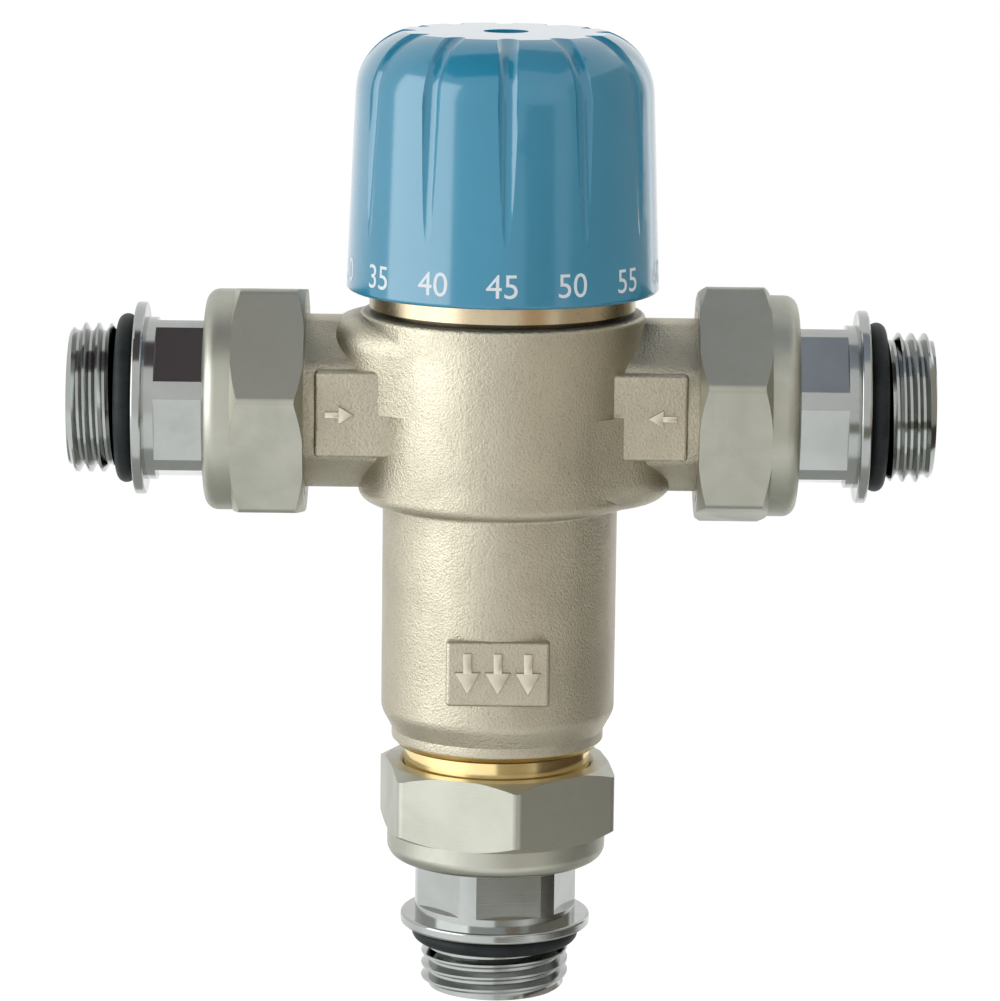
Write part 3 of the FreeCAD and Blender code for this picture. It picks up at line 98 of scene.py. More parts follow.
def tail_placement(port):
    """Matrix from a tail's own frame, with +Z outward and its end face at zero, to the valve's frame."""
    low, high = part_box("tailpiece_" + port)
    if port == "cold":
        return Matrix.Translation((low.x, 0, ARMS_HEIGHT)) @ Matrix.Rotation(-math.pi / 2, 4, "Y")
    if port == "hot":
        return Matrix.Translation((high.x, 0, ARMS_HEIGHT)) @ Matrix.Rotation(math.pi / 2, 4, "Y")
    return Matrix.Translation((0, 0, low.z)) @ Matrix.Rotation(math.pi, 4, "X")


# Settings

def length(name, default, description):
    """A length in metres."""
    return FloatProperty(name=name, description=description, default=default, unit="LENGTH", precision=5)


def colour(name, default, description):
    """A colour without alpha."""
    return FloatVectorProperty(name=name, description=description, default=default, size=3,
                               subtype="COLOR", min=0.0, max=1.0)


class ThreadSettings(bpy.types.PropertyGroup):
    diameter: length("Thread diameter", 0.020955, "Outer diameter of the pipe thread")
    pitch: length("Pitch", 0.001814, "Distance from crest to crest")
    depth: length("Depth", 0.00105, "Height of the thread's ridge")
    thread_length: length("Length", 0.0066, "Length of the threaded end")
    chamfer: length("End chamfer", 0.0009, "Length of the lead-in at each end of the thread")
    bore: length("Bore", 0.015, "Diameter of the waterway")
    segments: IntProperty(name="Segments", description="Facets around the thread", default=96, min=24)


class NeckSettings(bpy.types.PropertyGroup):
    cone_foot: length("Cone's foot", 0.0496, "Lower end of the neck's cone below the arms")
    thread_radius: length("Thread radius", 0.01322, "Radius of the casting's outlet thread")
    lift: length("Lift", 0.0013, "How far the cone's foot moves up")
    bare_height: length("Bare height", 0.0034, "How far the bare thread shows above the mixed union's nut")


class KnobSettings(bpy.types.PropertyGroup):
    plastic: colour("Plastic", (0.016, 0.262, 0.420), "Colour of the moulded knob")
    print_colour: colour("Print", (0.86, 0.90, 0.92), "Colour of the printed scale")
    taper: FloatProperty(name="Taper", description="Fall of the wall's radius for each unit of height",
                         default=0.04)
    scale_height: length("Scale height", 0.0034, "Height of the printed figures")
    scale_rise: length("Scale rise", 0.0016, "Height of the figures' foot above the knob's rim")
    lowest: IntProperty(name="Lowest", description="First figure of the scale", default=30)
    step: IntProperty(name="Step", description="Difference from one figure to the next", default=5, min=1)
    figures: IntProperty(name="Figures", description="How many figures are printed", default=7, min=1)
    spacing: FloatProperty(name="Spacing", description="Angle from one figure to the next",
                           default=math.radians(26.0), unit="ROTATION")
    print_thickness: length("Print thickness", 0.00008, "Whole thickness of the print, half of it outside")
    slice_width: length("Slice width", 0.0004, "Width of the strips in which a figure bends round the wall")


class MarkSettings(bpy.types.PropertyGroup):
    thickness: length("Thickness", 0.0009, "Whole thickness of an arrow, half of it above the pad")
    arm_face: length("Arm pads' face", 0.0126, "Front face of the arms' pads from the valve's axis")
    arm_place: length("Arm arrows' place", 0.0222, "Middle of the arms' arrows from the valve's axis")
    arm_size: length("Arm arrows' size", 0.0042, "Length of the arms' arrows")
    outlet_face: length("Outlet pad's face", 0.0169, "Front face of the outlet's pad from the axis")
    outlet_drop: length("Outlet arrows' drop", 0.0354, "Middle of the outlet's arrows below the arms")
    outlet_size: length("Outlet arrows' size", 0.0060, "Length of the outlet's arrows")
    outlet_spacing: length("Outlet arrows' spacing", 0.0042, "Distance between the outlet's arrows")
    # The arrows' lighter tint is partly rubbed wear and partly a painted highlight on their raised faces.
    worn_nickel: colour("Worn nickel", (0.66, 0.61, 0.50), "Colour of the arrows' rubbed faces")


class SpringSettings(bpy.types.PropertyGroup):
    check_travel: length("Check travel", 0.0025, "How far a check valve's poppet opens")
    overtravel: length("Overtravel", 0.0020, "How far the overtravel cup gives way")
    shuttle_travel: length("Shuttle travel", 0.0015, "How far the shuttle moves each way")


class MetalSettings(bpy.types.PropertyGroup):
    nickel: colour("Nickel", (0.51, 0.468, 0.366), "Colour of the nickel plating on the casting")
    nut_nickel: colour("Nut nickel", (0.44, 0.442, 0.378), "Colour of the plating on the nuts")
    tail_nickel: colour("Tail nickel", (0.40, 0.415, 0.40), "Colour of the polished tails and washers")
    brass: colour("Brass", (0.86, 0.66, 0.32), "Colour of the bare brass")
    steel: colour("Steel", (0.62, 0.62, 0.61), "Colour of the springs, clips, strainers and screw")
    rim: colour("Rim", (0.57, 0.47, 0.32), "Colour of the machined rim under the knob")
    # Height of the band of painted shade at the rim's foot, standing in for the shade in the seam.
    joint_shade_height: length("Joint height", 0.0004, "Height of the dark joint between rim and casting")


class SoftSettings(bpy.types.PropertyGroup):
    rubber: colour("Rubber", (0.010, 0.013, 0.014), "Colour of the seals")
    bloom: colour("Bloom", (0.022, 0.026, 0.027), "Colour of the seals where they have bloomed")
    fibre: colour("Fibre", (0.055, 0.16, 0.13), "Colour of the flat gaskets")
    fibre_pits: colour("Fibre's pits", (0.03, 0.09, 0.075), "Colour of the gaskets' pits")
    inner_plastic: colour("Inner plastic", (0.72, 0.72, 0.69), "Colour of the moulded parts inside the body")


class StudioSettings(bpy.types.PropertyGroup):
    distance: length("Camera distance", 0.66, "Distance from the valve's axis to the camera")
    height: length("Camera height", 0.107, "Height of the camera above the arms")
    aim_drop: length("Aim drop", 0.014, "How far under the arms the camera looks")
    roll: FloatProperty(name="Roll", description="Turn of the camera about its own axis",
                        default=math.radians(0.73), unit="ROTATION")
    lens: FloatProperty(name="Lens", description="Focal length on a 36 mm frame", default=171.4,
                        unit="CAMERA")
    floor_drop: length("Floor drop", 0.12, "How far the floor lies under the valve")
    floor_width: length("Floor width", 16.0, "Side of the square floor")
    floor_level: FloatProperty(name="Floor level", description="Light that the floor shows of its own",
                               default=0.70)
    surround_level: FloatProperty(name="Surround level", description="Light from all round on the valve",
                                  default=0.32)
    lamp_tint: colour("Lamp tint", (0.94, 0.98, 1.0), "Colour of the lamps")


# Shader helpers

BLACK, WHITE = (0, 0, 0), (1, 1, 1)

# A Mix node has several sockets of each name: the places of both inputs and the output by kind
MIX_SOCKETS = {"FLOAT": (2, 3, 0), "RGBA": (6, 7, 2)}


def feed(tree, socket, given):
    """Links a socket to given, or sets it where given is a plain number or colour."""
    if isinstance(given, bpy.types.NodeSocket):
        tree.links.new(given, socket)
    elif socket.type == "RGBA":
        socket.default_value = (*given, 1.0)
    else:
        socket.default_value = given


def feed_all(tree, node, inputs):
    """Links or sets the inputs of a node by name."""
    for name, given in inputs.items():
        feed(tree, node.inputs[name], given)


def shader(tree, kind, inputs=None, **options):
    """A shader node with its options, and its inputs linked or set by name."""
    made = tree.nodes.new("ShaderNode" + kind)
    for name, setting in options.items():
        setattr(made, name, setting)
    feed_all(tree, made, inputs or {})
    return made


def blank_material(name):
    """A new material's node tree and its Principled shader, and no other surface."""
    material = bpy.data.materials.new(name)
    material.use_nodes = True
    tree = material.node_tree
    tree.nodes.clear()
    surface = shader(tree, "BsdfPrincipled")
    shader(tree, "OutputMaterial", {"Surface": surface.outputs["BSDF"]})
    return tree, surface


def ramp(tree, source, low, high, stops):
    """A colour ramp between two places, with greys or colours at its stops."""
    made = shader(tree, "ValToRGB", {"Fac": source})
    for element, position, stop in zip(made.color_ramp.elements, (low, high), stops):
        element.position = position
        element.color = (*stop, 1.0)
    return made.outputs["Color"]


def mixed(tree, factor, first, second, kind="RGBA"):
    """Colour or number between first and second, each plain or a socket."""
    made = shader(tree, "Mix", data_type=kind)
    first_place, second_place, result_place = MIX_SOCKETS[kind]
    feed(tree, made.inputs[0], factor)
    feed(tree, made.inputs[first_place], first)
    feed(tree, made.inputs[second_place], second)
    return made.outputs[result_place]


def arithmetic(tree, operation, *terms, clamp=False):
    """One Math node on sockets or plain numbers."""
    made = shader(tree, "Math", operation=operation, use_clamp=clamp)
    for socket, term in zip(made.inputs, terms):
        feed(tree, socket, term)
    return made.outputs[0]


def object_vector(tree):
    """Place on the piece, in its own coordinates."""
    return shader(tree, "TexCoord").outputs["Object"]


def axis_value(tree, vector, axis):
    """One part of a vector: X, Y or Z."""
    return shader(tree, "SeparateXYZ", {"Vector": vector}).outputs[axis]


def bumped(tree, height, strength, depth):
    """Normal of a surface with this height pattern."""
    return shader(tree, "Bump", {"Strength": strength, "Distance": depth, "Height": height}).outputs["Normal"]


def dimmed(tint, share):
    """A tint darkened to this share."""
    return [part * share for part in tint]


# Shared patterns

def new_group(name, inputs, outputs):
    """An empty node group with float or vector inputs and float outputs."""
    group = bpy.data.node_groups.new(name, "ShaderNodeTree")
    for label, kind, default in inputs:
        socket = group.interface.new_socket(label, in_out="INPUT", socket_type=kind)
        if default is not None:
            socket.default_value = default
    for label in outputs:
        group.interface.new_socket(label, in_out="OUTPUT", socket_type="NodeSocketFloat")
    return group, group.nodes.new("NodeGroupInput").outputs, group.nodes.new("NodeGroupOutput")


def placed_group(tree, group, inputs):
    """A shared group in this material, with its own values."""
    return shader(tree, "Group", inputs, node_tree=group)


def grain_group():
    """Sand-cast grain: fine pimples over broader unevenness, and the pits between them."""
    group, given, result = new_group("cast_grain", (
        ("Vector", "NodeSocketVector", None),
        ("Grain Scale", "NodeSocketFloat", 3200.0),
        ("Wave Scale", "NodeSocketFloat", 560.0),
        ("Wave Share", "NodeSocketFloat", 0.35),
    ), ("Height", "Pits"))
    fine = shader(group, "TexNoise", {"Vector": given["Vector"], "Scale": given["Grain Scale"],
                                      "Detail": 3.0, "Roughness": 0.55})
    broad = shader(group, "TexNoise", {"Vector": given["Vector"], "Scale": given["Wave Scale"],
                                       "Detail": 2.0, "Roughness": 0.5})
    wave = arithmetic(group, "MULTIPLY", broad.outputs["Fac"], given["Wave Share"])
    feed_all(group, result, {
        "Height": arithmetic(group, "ADD", fine.outputs["Fac"], wave),
        "Pits": ramp(group, fine.outputs["Fac"], low=0.30, high=0.46, stops=(WHITE, BLACK)),
    })
    return group


def stain_group():
    """Slow drifts in a finish: cloudy patches with soft borders."""
    group, given, result = new_group("cloudy_stain", (
        ("Vector", "NodeSocketVector", None),
        ("Scale", "NodeSocketFloat", 60.0),
    ), ("Mask",))
    cloud = shader(group, "TexNoise", {"Vector": given["Vector"], "Scale": given["Scale"],
                                       "Detail": 4.0, "Roughness": 0.6, "Distortion": 0.4})
    mask = ramp(group, cloud.outputs["Fac"], low=0.36, high=0.64, stops=(BLACK, WHITE))
    feed_all(group, result, {"Mask": mask})
    return group


def tool_mark_group():
    """Fine marks that a cutting tool leaves, as uneven lines across one direction."""
    group, given, result = new_group("tool_marks", (
        ("Along", "NodeSocketFloat", 0.0),
        ("Lines", "NodeSocketFloat", 6000.0),
    ), ("Height",))
    place = arithmetic(group, "MULTIPLY", given["Along"], given["Lines"])
    lines = shader(group, "TexNoise", {"W": place, "Scale": 1.0, "Detail": 2.0}, noise_dimensions="1D")
    feed_all(group, result, {"Height": lines.outputs["Fac"]})
    return group


def clouded(tree, groups, vector, tint, dull, scale):
    """A tint with cloudy patches of a duller one, and the mask of those patches."""
    mask = placed_group(tree, groups["stain"], {"Vector": vector, "Scale": scale}).outputs["Mask"]
    return mixed(tree, mask, tint, dull), mask


def clouded_roughness(tree, mask, least, rise):
    """Roughness that goes up by rise in the cloudy patches."""
    return arithmetic(tree, "MULTIPLY_ADD", mask, rise, least)


# Finishes

def cast_nickel(groups, metal, bare_top):
    """Nickel plating over sand-cast brass, bare and polished below the height bare_top."""
    tree, surface = blank_material("cast_nickel")
    vector = object_vector(tree)
    grain = placed_group(tree, groups["grain"], {"Vector": vector})
    dull, pit_tint = dimmed(metal.nickel, 0.86), dimmed(metal.nickel, 0.5)
    plating, stain = clouded(tree, groups, vector, metal.nickel, dull, scale=70.0)
    pit_depth = 0.45
    pits = arithmetic(tree, "MULTIPLY", grain.outputs["Pits"], pit_depth)
    pitted = mixed(tree, pits, plating, pit_tint)
    bare = arithmetic(tree, "LESS_THAN", axis_value(tree, vector, "Z"), bare_top)
    plated = arithmetic(tree, "SUBTRACT", 1.0, bare)
    plated_roughness = clouded_roughness(tree, stain, least=0.36, rise=0.08)
    bare_roughness = 0.16
    height = arithmetic(tree, "MULTIPLY", grain.outputs["Height"], plated)
    feed_all(tree, surface, {
        "Base Color": mixed(tree, bare, pitted, metal.brass),
        "Metallic": 1.0,
        "Roughness": mixed(tree, bare, plated_roughness, bare_roughness, "FLOAT"),
        "Normal": bumped(tree, height, strength=0.8, depth=0.00014),
    })


def turned_metal(name, groups, tint, axis, roughness, marks, strength):
    """Plated metal off a lathe, with tool marks across the axis and cloudy plating."""
    tree, surface = blank_material(name)
    vector = object_vector(tree)
    plating, stain = clouded(tree, groups, vector, tint, dimmed(tint, 0.88), scale=110.0)
    lines = placed_group(tree, groups["marks"], {"Along": axis_value(tree, vector, axis), "Lines": marks})
    feed_all(tree, surface, {
        "Base Color": plating,
        "Metallic": 1.0,
        "Roughness": clouded_roughness(tree, stain, roughness, rise=0.07),
        "Normal": bumped(tree, lines.outputs["Height"], strength, depth=0.00003),
    })
    return tree, surface, vector, plating


def rim_metal(groups, metal):
    """Turned metal of the cover's rim, with painted shade in a band at its foot where it meets the casting.
    """
    tree, surface, vector, plating = turned_metal("turned_rim", groups, metal.rim, "Z", roughness=0.24,
                                                  marks=9000.0, strength=0.25)
    joint_shade_top = CASTING_TOP + metal.joint_shade_height
    # Painted shade: the rim's lowest band is darkened to stand in for the shade in its seam with the casting.
    joint = arithmetic(tree, "LESS_THAN", axis_value(tree, vector, "Z"), joint_shade_top)
    shadow_tint = dimmed(metal.rim, 0.12)
    feed_all(tree, surface, {"Base Color": mixed(tree, joint, plating, shadow_tint)})


def black_rubber(groups, soft):
    """Black rubber with a faint bloom."""
    tree, surface = blank_material("black_rubber")
    bloomed, _ = clouded(tree, groups, object_vector(tree), soft.rubber, soft.bloom, scale=300.0)
    feed_all(tree, surface, {"Base Color": bloomed, "Roughness": 0.5, "Specular IOR Level": 0.22})


def pressed_fibre(groups, soft):
    """Pressed fibre of a flat gasket."""
    tree, surface = blank_material("pressed_fibre")
    grain = placed_group(tree, groups["grain"], {"Vector": object_vector(tree), "Grain Scale": 2600.0})
    feed_all(tree, surface, {
        "Base Color": mixed(tree, grain.outputs["Pits"], soft.fibre, soft.fibre_pits),
        "Roughness": 0.8,
        "Normal": bumped(tree, grain.outputs["Height"], strength=0.3, depth=0.00004),
    })


def moulded(name, groups, tint, roughness, coat):
    """Moulded plastic with a slight unevenness in its gloss."""
    tree, surface = blank_material(name)
    vector = object_vector(tree)
    plastic, _ = clouded(tree, groups, vector, tint, dimmed(tint, 0.93), scale=45.0)
    grain = placed_group(tree, groups["grain"], {"Vector": vector, "Grain Scale": 900.0,
                                                 "Wave Scale": 90.0, "Wave Share": 1.0})
    feed_all(tree, surface, {
        "Base Color": plastic,
        "Normal": bumped(tree, grain.outputs["Height"], strength=0.12, depth=0.00004),
        "Roughness": roughness,
        "Coat Weight": coat,
        "Coat Roughness": 0.12,
        "Coat IOR": 1.65,
        "Specular IOR Level": 0.25,
    })


def make_finishes(scene):
    """Every finish, built on the shared groups."""
    groups = {"grain": grain_group(), "stain": stain_group(), "marks": tool_mark_group()}
    metal = scene.valve_metal
    soft = scene.valve_soft
    knob = scene.valve_knob
    cast_nickel(groups, metal, MIXED_NUT_TOP + scene.valve_neck.bare_height)
    rim_metal(groups, metal)
    for name, tint, axis, roughness, marks, strength in (
        ("nut_nickel_x", metal.nut_nickel, "X", 0.40, 5000.0, 0.35),
        ("nut_nickel_z", metal.nut_nickel, "Z", 0.36, 5000.0, 0.35),
        ("tail_nickel_x", metal.tail_nickel, "X", 0.12, 5000.0, 0.08),
        ("tail_nickel_z", metal.tail_nickel, "Z", 0.12, 5000.0, 0.08),
        # Arrows: lower roughness for rubbed wear, and a lighter tint that is a painted highlight.
        ("worn_nickel", scene.valve_marks.worn_nickel, "X", 0.28, 2500.0, 0.3),
        ("turned_brass", metal.brass, "Z", 0.22, 7000.0, 0.25),
        ("bright_steel", metal.steel, "Z", 0.25, 7000.0, 0.2),
    ):
        turned_metal(name, groups, tint, axis, roughness, marks, strength)
    black_rubber(groups, soft)
    pressed_fibre(groups, soft)
    for name, tint, roughness, coat in (
        ("moulded_white", soft.inner_plastic, 0.45, 0.0),
        ("moulded_blue", knob.plastic, 0.26, 1.0),
        ("scale_print", knob.print_colour, 0.5, 0.0),
    ):
        moulded(name, groups, tint, roughness, coat)


def finish_nodes(finish, *nodes):
    """Gives one finish to these frame nodes."""
    material = bpy.data.materials[finish]
    for node in nodes:
        slots = NODES[node].data.materials
        slots.clear()
        slots.append(material)


# Meshes

def mesh_object(name, bm, finish, sharp_degrees=25.0):
    """An object with the mesh of bm, smooth but for its sharp edges."""
    mesh = bpy.data.meshes.new(name)
    bm.to_mesh(mesh)
    bm.free()
    kept_normals = mesh.attributes.get("custom_normal")
    if kept_normals:
        mesh.attributes.remove(kept_normals)
    mesh.shade_smooth()
    mesh.set_sharp_from_angle(angle=math.radians(sharp_degrees))
    mesh.materials.append(bpy.data.materials[finish])
    made = bpy.data.objects.new(name, mesh)
    bpy.context.scene.collection.objects.link(made)
    return made


def merged_copy(node):
    """A frame node's mesh as a bmesh, its loose triangles merged."""
    bm = bmesh.new()
    bm.from_mesh(NODES[node].data)
    bmesh.ops.remove_doubles(bm, verts=bm.verts, dist=MERGE_DISTANCE)
    return bm


def add_part(whole, part):
    """Adds one bmesh to another, and frees it."""
    passing = bpy.data.meshes.new("passing")
    part.to_mesh(passing)
    part.free()
    whole.from_mesh(passing)
    bpy.data.meshes.remove(passing)


def cut(bm, place, normal, clear=False):
    """Cuts bm along a plane, and with clear removes what lies beyond it."""
    bmesh.ops.bisect_plane(bm, geom=[*bm.verts, *bm.edges, *bm.faces], dist=CUT_TOLERANCE,
                           plane_co=place, plane_no=normal, clear_outer=clear)


def open_edges(bm):
    """The edges that only one face uses."""
    return [edge for edge in bm.edges if edge.is_boundary]


def draw_in(vert, share):
    """Moves a vertex towards the Z axis, to this share of its distance."""
    vert.co.x *= share
    vert.co.y *= share


def shank_without_thread(node, placement, settings):
    """The tailpiece as far as its thread, in its own frame, merged, cut square and closed."""
    bm = bmesh.new()
    bm.from_mesh(NODES[node].data)
    bmesh.ops.transform(bm, matrix=placement.inverted(), verts=bm.verts)
    bmesh.ops.remove_doubles(bm, verts=bm.verts, dist=MERGE_DISTANCE)
    cut(bm, (0, 0, -settings.thread_length), (0, 0, 1), clear=True)
    bmesh.ops.bridge_loops(bm, edges=open_edges(bm))
    return bm


# Shares of a pitch at which the thread's ridge starts, reaches its crest, leaves it and ends
RIDGE_START, CREST_START, CREST_END, RIDGE_END = 0.10, 0.42, 0.58, 0.90


def thread_sleeve(settings):
    """A closed sleeve with a helical ridge, its end face at zero and its root at the shank."""
    crest = settings.diameter / 2
    root = crest - settings.depth
    pitch = settings.pitch
    foot = -settings.thread_length
    profile = ((root, 0.0), (root, RIDGE_START), (crest, CREST_START), (crest, CREST_END), (root, RIDGE_END),
               (root, 1.0))
    bm = bmesh.new()
    points = [bm.verts.new((radius, 0, foot - pitch + share * pitch)) for radius, share in profile]
    edges = [bm.edges.new(pair) for pair in zip(points, points[1:])]
    turns = math.ceil(settings.thread_length / pitch) + 2
    steps = settings.segments
    bmesh.ops.spin(bm, geom=[*points, *edges], cent=(0, 0, 0), axis=(0, 0, 1), angle=math.tau * turns,
                   steps=steps * turns, dvec=(0, 0, pitch / steps), space=Matrix())
    bmesh.ops.remove_doubles(bm, verts=bm.verts, dist=MERGE_DISTANCE)
    cut(bm, (0, 0, 0), (0, 0, 1), clear=True)
    cut(bm, (0, 0, foot), (0, 0, -1), clear=True)
    for vert in bm.verts:
        end_gap = min(-vert.co.z, vert.co.z - foot)
        lead_in = root + end_gap * settings.depth / settings.chamfer
        draw_in(vert, min(1.0, lead_in / vert.co.xy.length))
    inner_rims = []
    for height in (0.0, foot):
        rim = [edge for edge in open_edges(bm) if abs(edge.verts[0].co.z - height) < MERGE_DISTANCE]
        grown = bmesh.ops.extrude_edge_only(bm, edges=rim)["geom"]
        for part in grown:
            if isinstance(part, bmesh.types.BMVert):
                draw_in(part, settings.bore / 2 / part.co.xy.length)
        inner_rims += [part for part in grown if isinstance(part, bmesh.types.BMEdge)]
    bmesh.ops.bridge_loops(bm, edges=inner_rims)
    bmesh.ops.recalc_face_normals(bm, faces=bm.faces)
    return bm


def casting_with_square_neck(settings):
    """The casting, its outlet thread carried up to the collar without the run-out cone."""
    bm = merged_copy("valve_body")
    cone_foot = ARMS_HEIGHT - settings.cone_foot
    for vert in bm.verts:
        at_foot = abs(vert.co.z - cone_foot) < PLACE_TOLERANCE
        if at_foot and abs(vert.co.xy.length - settings.thread_radius) < PLACE_TOLERANCE:
            vert.co.z += settings.lift
    casting = mesh_object("casting", bm, "cast_nickel")
    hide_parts("valve_body")
    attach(casting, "casting")


def threaded_tail(port, settings):
    """One tailpiece with its pipe thread cut."""
    placement = tail_placement(port)
    node = "tailpiece_" + port
    bm = shank_without_thread(node, placement, settings)
    add_part(bm, thread_sleeve(settings))
    bmesh.ops.transform(bm, matrix=placement, verts=bm.verts)
    finish = "tail_nickel_z" if port == "mixed" else "tail_nickel_x"
    tail = mesh_object("threaded_tail_" + port, bm, finish, sharp_degrees=20.0)
    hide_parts(node)
    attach(tail, "casting")


def compressed_spring(node, body):
    """A coil copied from the frame node, finished in bright steel and attached to its body."""
    coil = mesh_object(node + "_coil", merged_copy(node), "bright_steel", sharp_degrees=30.0)
    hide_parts(node)
    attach(coil, body)
    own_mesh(coil)


# Height of the built-in font's figures as a share of its size
FIGURE_SHARE = 0.73


def figure_mesh(text, height, thickness):
    """Flat text as a bmesh, centred on its width, with its foot at zero."""
    curve = bpy.data.curves.new("figure", "FONT")
    curve.body = text
    curve.size = height / FIGURE_SHARE
    curve.align_x = "CENTER"
    curve.extrude = thickness / 2
    holder = bpy.data.objects.new("figure", curve)
    bpy.context.scene.collection.objects.link(holder)
    bpy.context.view_layer.update()
    mesh = bpy.data.meshes.new_from_object(holder)
    bm = bmesh.new()
    bm.from_mesh(mesh)
    bpy.data.objects.remove(holder)
    bpy.data.curves.remove(curve)
    bpy.data.meshes.remove(mesh)
    return bm


def wrap_on_knob(bm, turn, settings):
    """Bends flat text onto the knob's tapered wall, its middle at the given turn from the front."""
    foot = KNOB_LOW.z + settings.scale_rise
    half_width = max(abs(vert.co.x) for vert in bm.verts)
    count = math.ceil(half_width / settings.slice_width)
    for number in range(-count, count + 1):
        cut(bm, (number * settings.slice_width, 0, 0), (1, 0, 0))
    for vert in bm.verts:
        across, up, out = vert.co
        rise = settings.scale_rise + up
        radius = KNOB_FOOT_RADIUS - rise * settings.taper + out
        angle = turn + across / KNOB_FOOT_RADIUS
        vert.co = (radius * math.sin(angle), -radius * math.cos(angle), foot + up)


# An arrow's measures as shares of its length: the head's place, its radius at foot and face, and the shaft
HEAD_PLACE, HEAD_FOOT, HEAD_FACE = 0.12, 0.38, 0.34
SHAFT_LENGTH, SHAFT_WIDTH = 0.5, 0.2
EDGE_SHARE = 0.16


def add_arrow(bm, size, thickness, matrix):
    """Adds a raised arrow that points along +X before the matrix moves it: a head and a shaft."""
    tip_forward = Matrix.Translation((size * HEAD_PLACE, 0, 0)) @ Matrix.Rotation(-math.pi / 2, 4, "Z")
    head = bmesh.ops.create_cone(bm, cap_ends=True, segments=3, radius1=size * HEAD_FOOT,
                                 radius2=size * HEAD_FACE, depth=thickness, matrix=tip_forward)["verts"]
    shaft = bmesh.ops.create_cube(bm, size=1.0)["verts"]
    bmesh.ops.scale(bm, vec=(size * SHAFT_LENGTH, size * SHAFT_WIDTH, thickness), verts=shaft)
    bmesh.ops.translate(bm, verts=shaft, vec=(-size * SHAFT_LENGTH / 2, 0, 0))
    bmesh.ops.transform(bm, matrix=matrix, verts=[*head, *shaft])


def mark_place(x, y, z, roll):
    """Matrix that stands a flat mark up to face the front, turned by roll in its plane."""
    upright = Matrix.Rotation(math.pi / 2, 4, "X")
    return Matrix.Translation((x, y, z)) @ upright @ Matrix.Rotation(roll, 4, "Z")


# Operators

class MIXINGVALVE_OT_finishes(bpy.types.Operator):
    """Builds the shared finishes."""
    bl_idname = "mixing_valve.finishes"
    bl_label = "Finishes"

    def execute(self, context):
        make_finishes(context.scene)
        return {"FINISHED"}


class MIXINGVALVE_OT_casting(bpy.types.Operator):
    """Finishes the cast body and the cover screwed into it."""
    bl_idname = "mixing_valve.casting"
    bl_label = "Casting and cover"

    def execute(self, context):
        casting_with_square_neck(context.scene.valve_neck)
        finish_nodes("turned_rim", "bonnet")
        return {"FINISHED"}


class MIXINGVALVE_OT_flow_arrows(bpy.types.Operator):
    """Raises plain flow arrows on the casting's marking pads: inwards on the arms, down on the outlet."""
    bl_idname = "mixing_valve.flow_arrows"
    bl_label = "Flow arrows"

    def execute(self, context):
        settings = context.scene.valve_marks
        bm = bmesh.new()
        for side, roll in ((-1, 0.0), (1, math.pi)):
            place = mark_place(side * settings.arm_place, -settings.arm_face, ARMS_HEIGHT, roll)
            add_arrow(bm, settings.arm_size, settings.thickness, place)
        for number in (-1, 0, 1):
            place = mark_place(number * settings.outlet_spacing, -settings.outlet_face,
                               ARMS_HEIGHT - settings.outlet_drop, -math.pi / 2)
            add_arrow(bm, settings.outlet_size, settings.thickness, place)
        bmesh.ops.bevel(bm, geom=bm.edges, offset=settings.thickness * EDGE_SHARE, segments=2,
                        profile=0.5, affect="EDGES", material=-1)
        # The arrows' finish is lighter than the casting: part wear, part painted highlight.
        arrows = mesh_object("flow_arrows", bm, "worn_nickel")
        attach(arrows, "casting")
        return {"FINISHED"}


class MIXINGVALVE_OT_unions(bpy.types.Operator):
    """Finishes the union nuts, their washers, gaskets and seals."""
    bl_idname = "mixing_valve.unions"
    bl_label = "Unions"

    def execute(self, context):
        for port in PORTS:
            axis = "z" if port == "mixed" else "x"
            finish_nodes("nut_nickel_" + axis, "union_nut_" + port)
            finish_nodes("tail_nickel_" + axis, "backing_washer_" + port)
            finish_nodes("pressed_fibre", "union_gasket_" + port)
            finish_nodes("black_rubber", "thread_seal_" + port)
        return {"FINISHED"}


class MIXINGVALVE_OT_threaded_tails(bpy.types.Operator):
    """Cuts the pipe thread on each of the three tailpieces."""
    bl_idname = "mixing_valve.threaded_tails"
    bl_label = "Threaded tails"

    def execute(self, context):
        for port in PORTS:
            threaded_tail(port, context.scene.valve_thread)
        return {"FINISHED"}


class MIXINGVALVE_OT_knob(bpy.types.Operator):
    """Finishes the control knob and its screw."""
    bl_idname = "mixing_valve.knob"
    bl_label = "Knob"

    def execute(self, context):
        finish_nodes("moulded_blue", "control_knob")
        finish_nodes("bright_steel", "knob_screw")
        return {"FINISHED"}


class MIXINGVALVE_OT_knob_scale(bpy.types.Operator):
    """Prints a plain scale of figures round the knob's rim."""
    bl_idname = "mixing_valve.knob_scale"
    bl_label = "Knob scale"

    def execute(self, context):
        settings = context.scene.valve_knob
        joined = bmesh.new()
        for number in range(settings.figures):
            turn = (number - (settings.figures - 1) / 2) * settings.spacing
            figure = figure_mesh(str(settings.lowest + number * settings.step),
                                 settings.scale_height, settings.print_thickness)
            wrap_on_knob(figure, turn, settings)
            add_part(joined, figure)
        scale = mesh_object("knob_scale", joined, "scale_print")
        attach(scale, "knob")
        return {"FINISHED"}


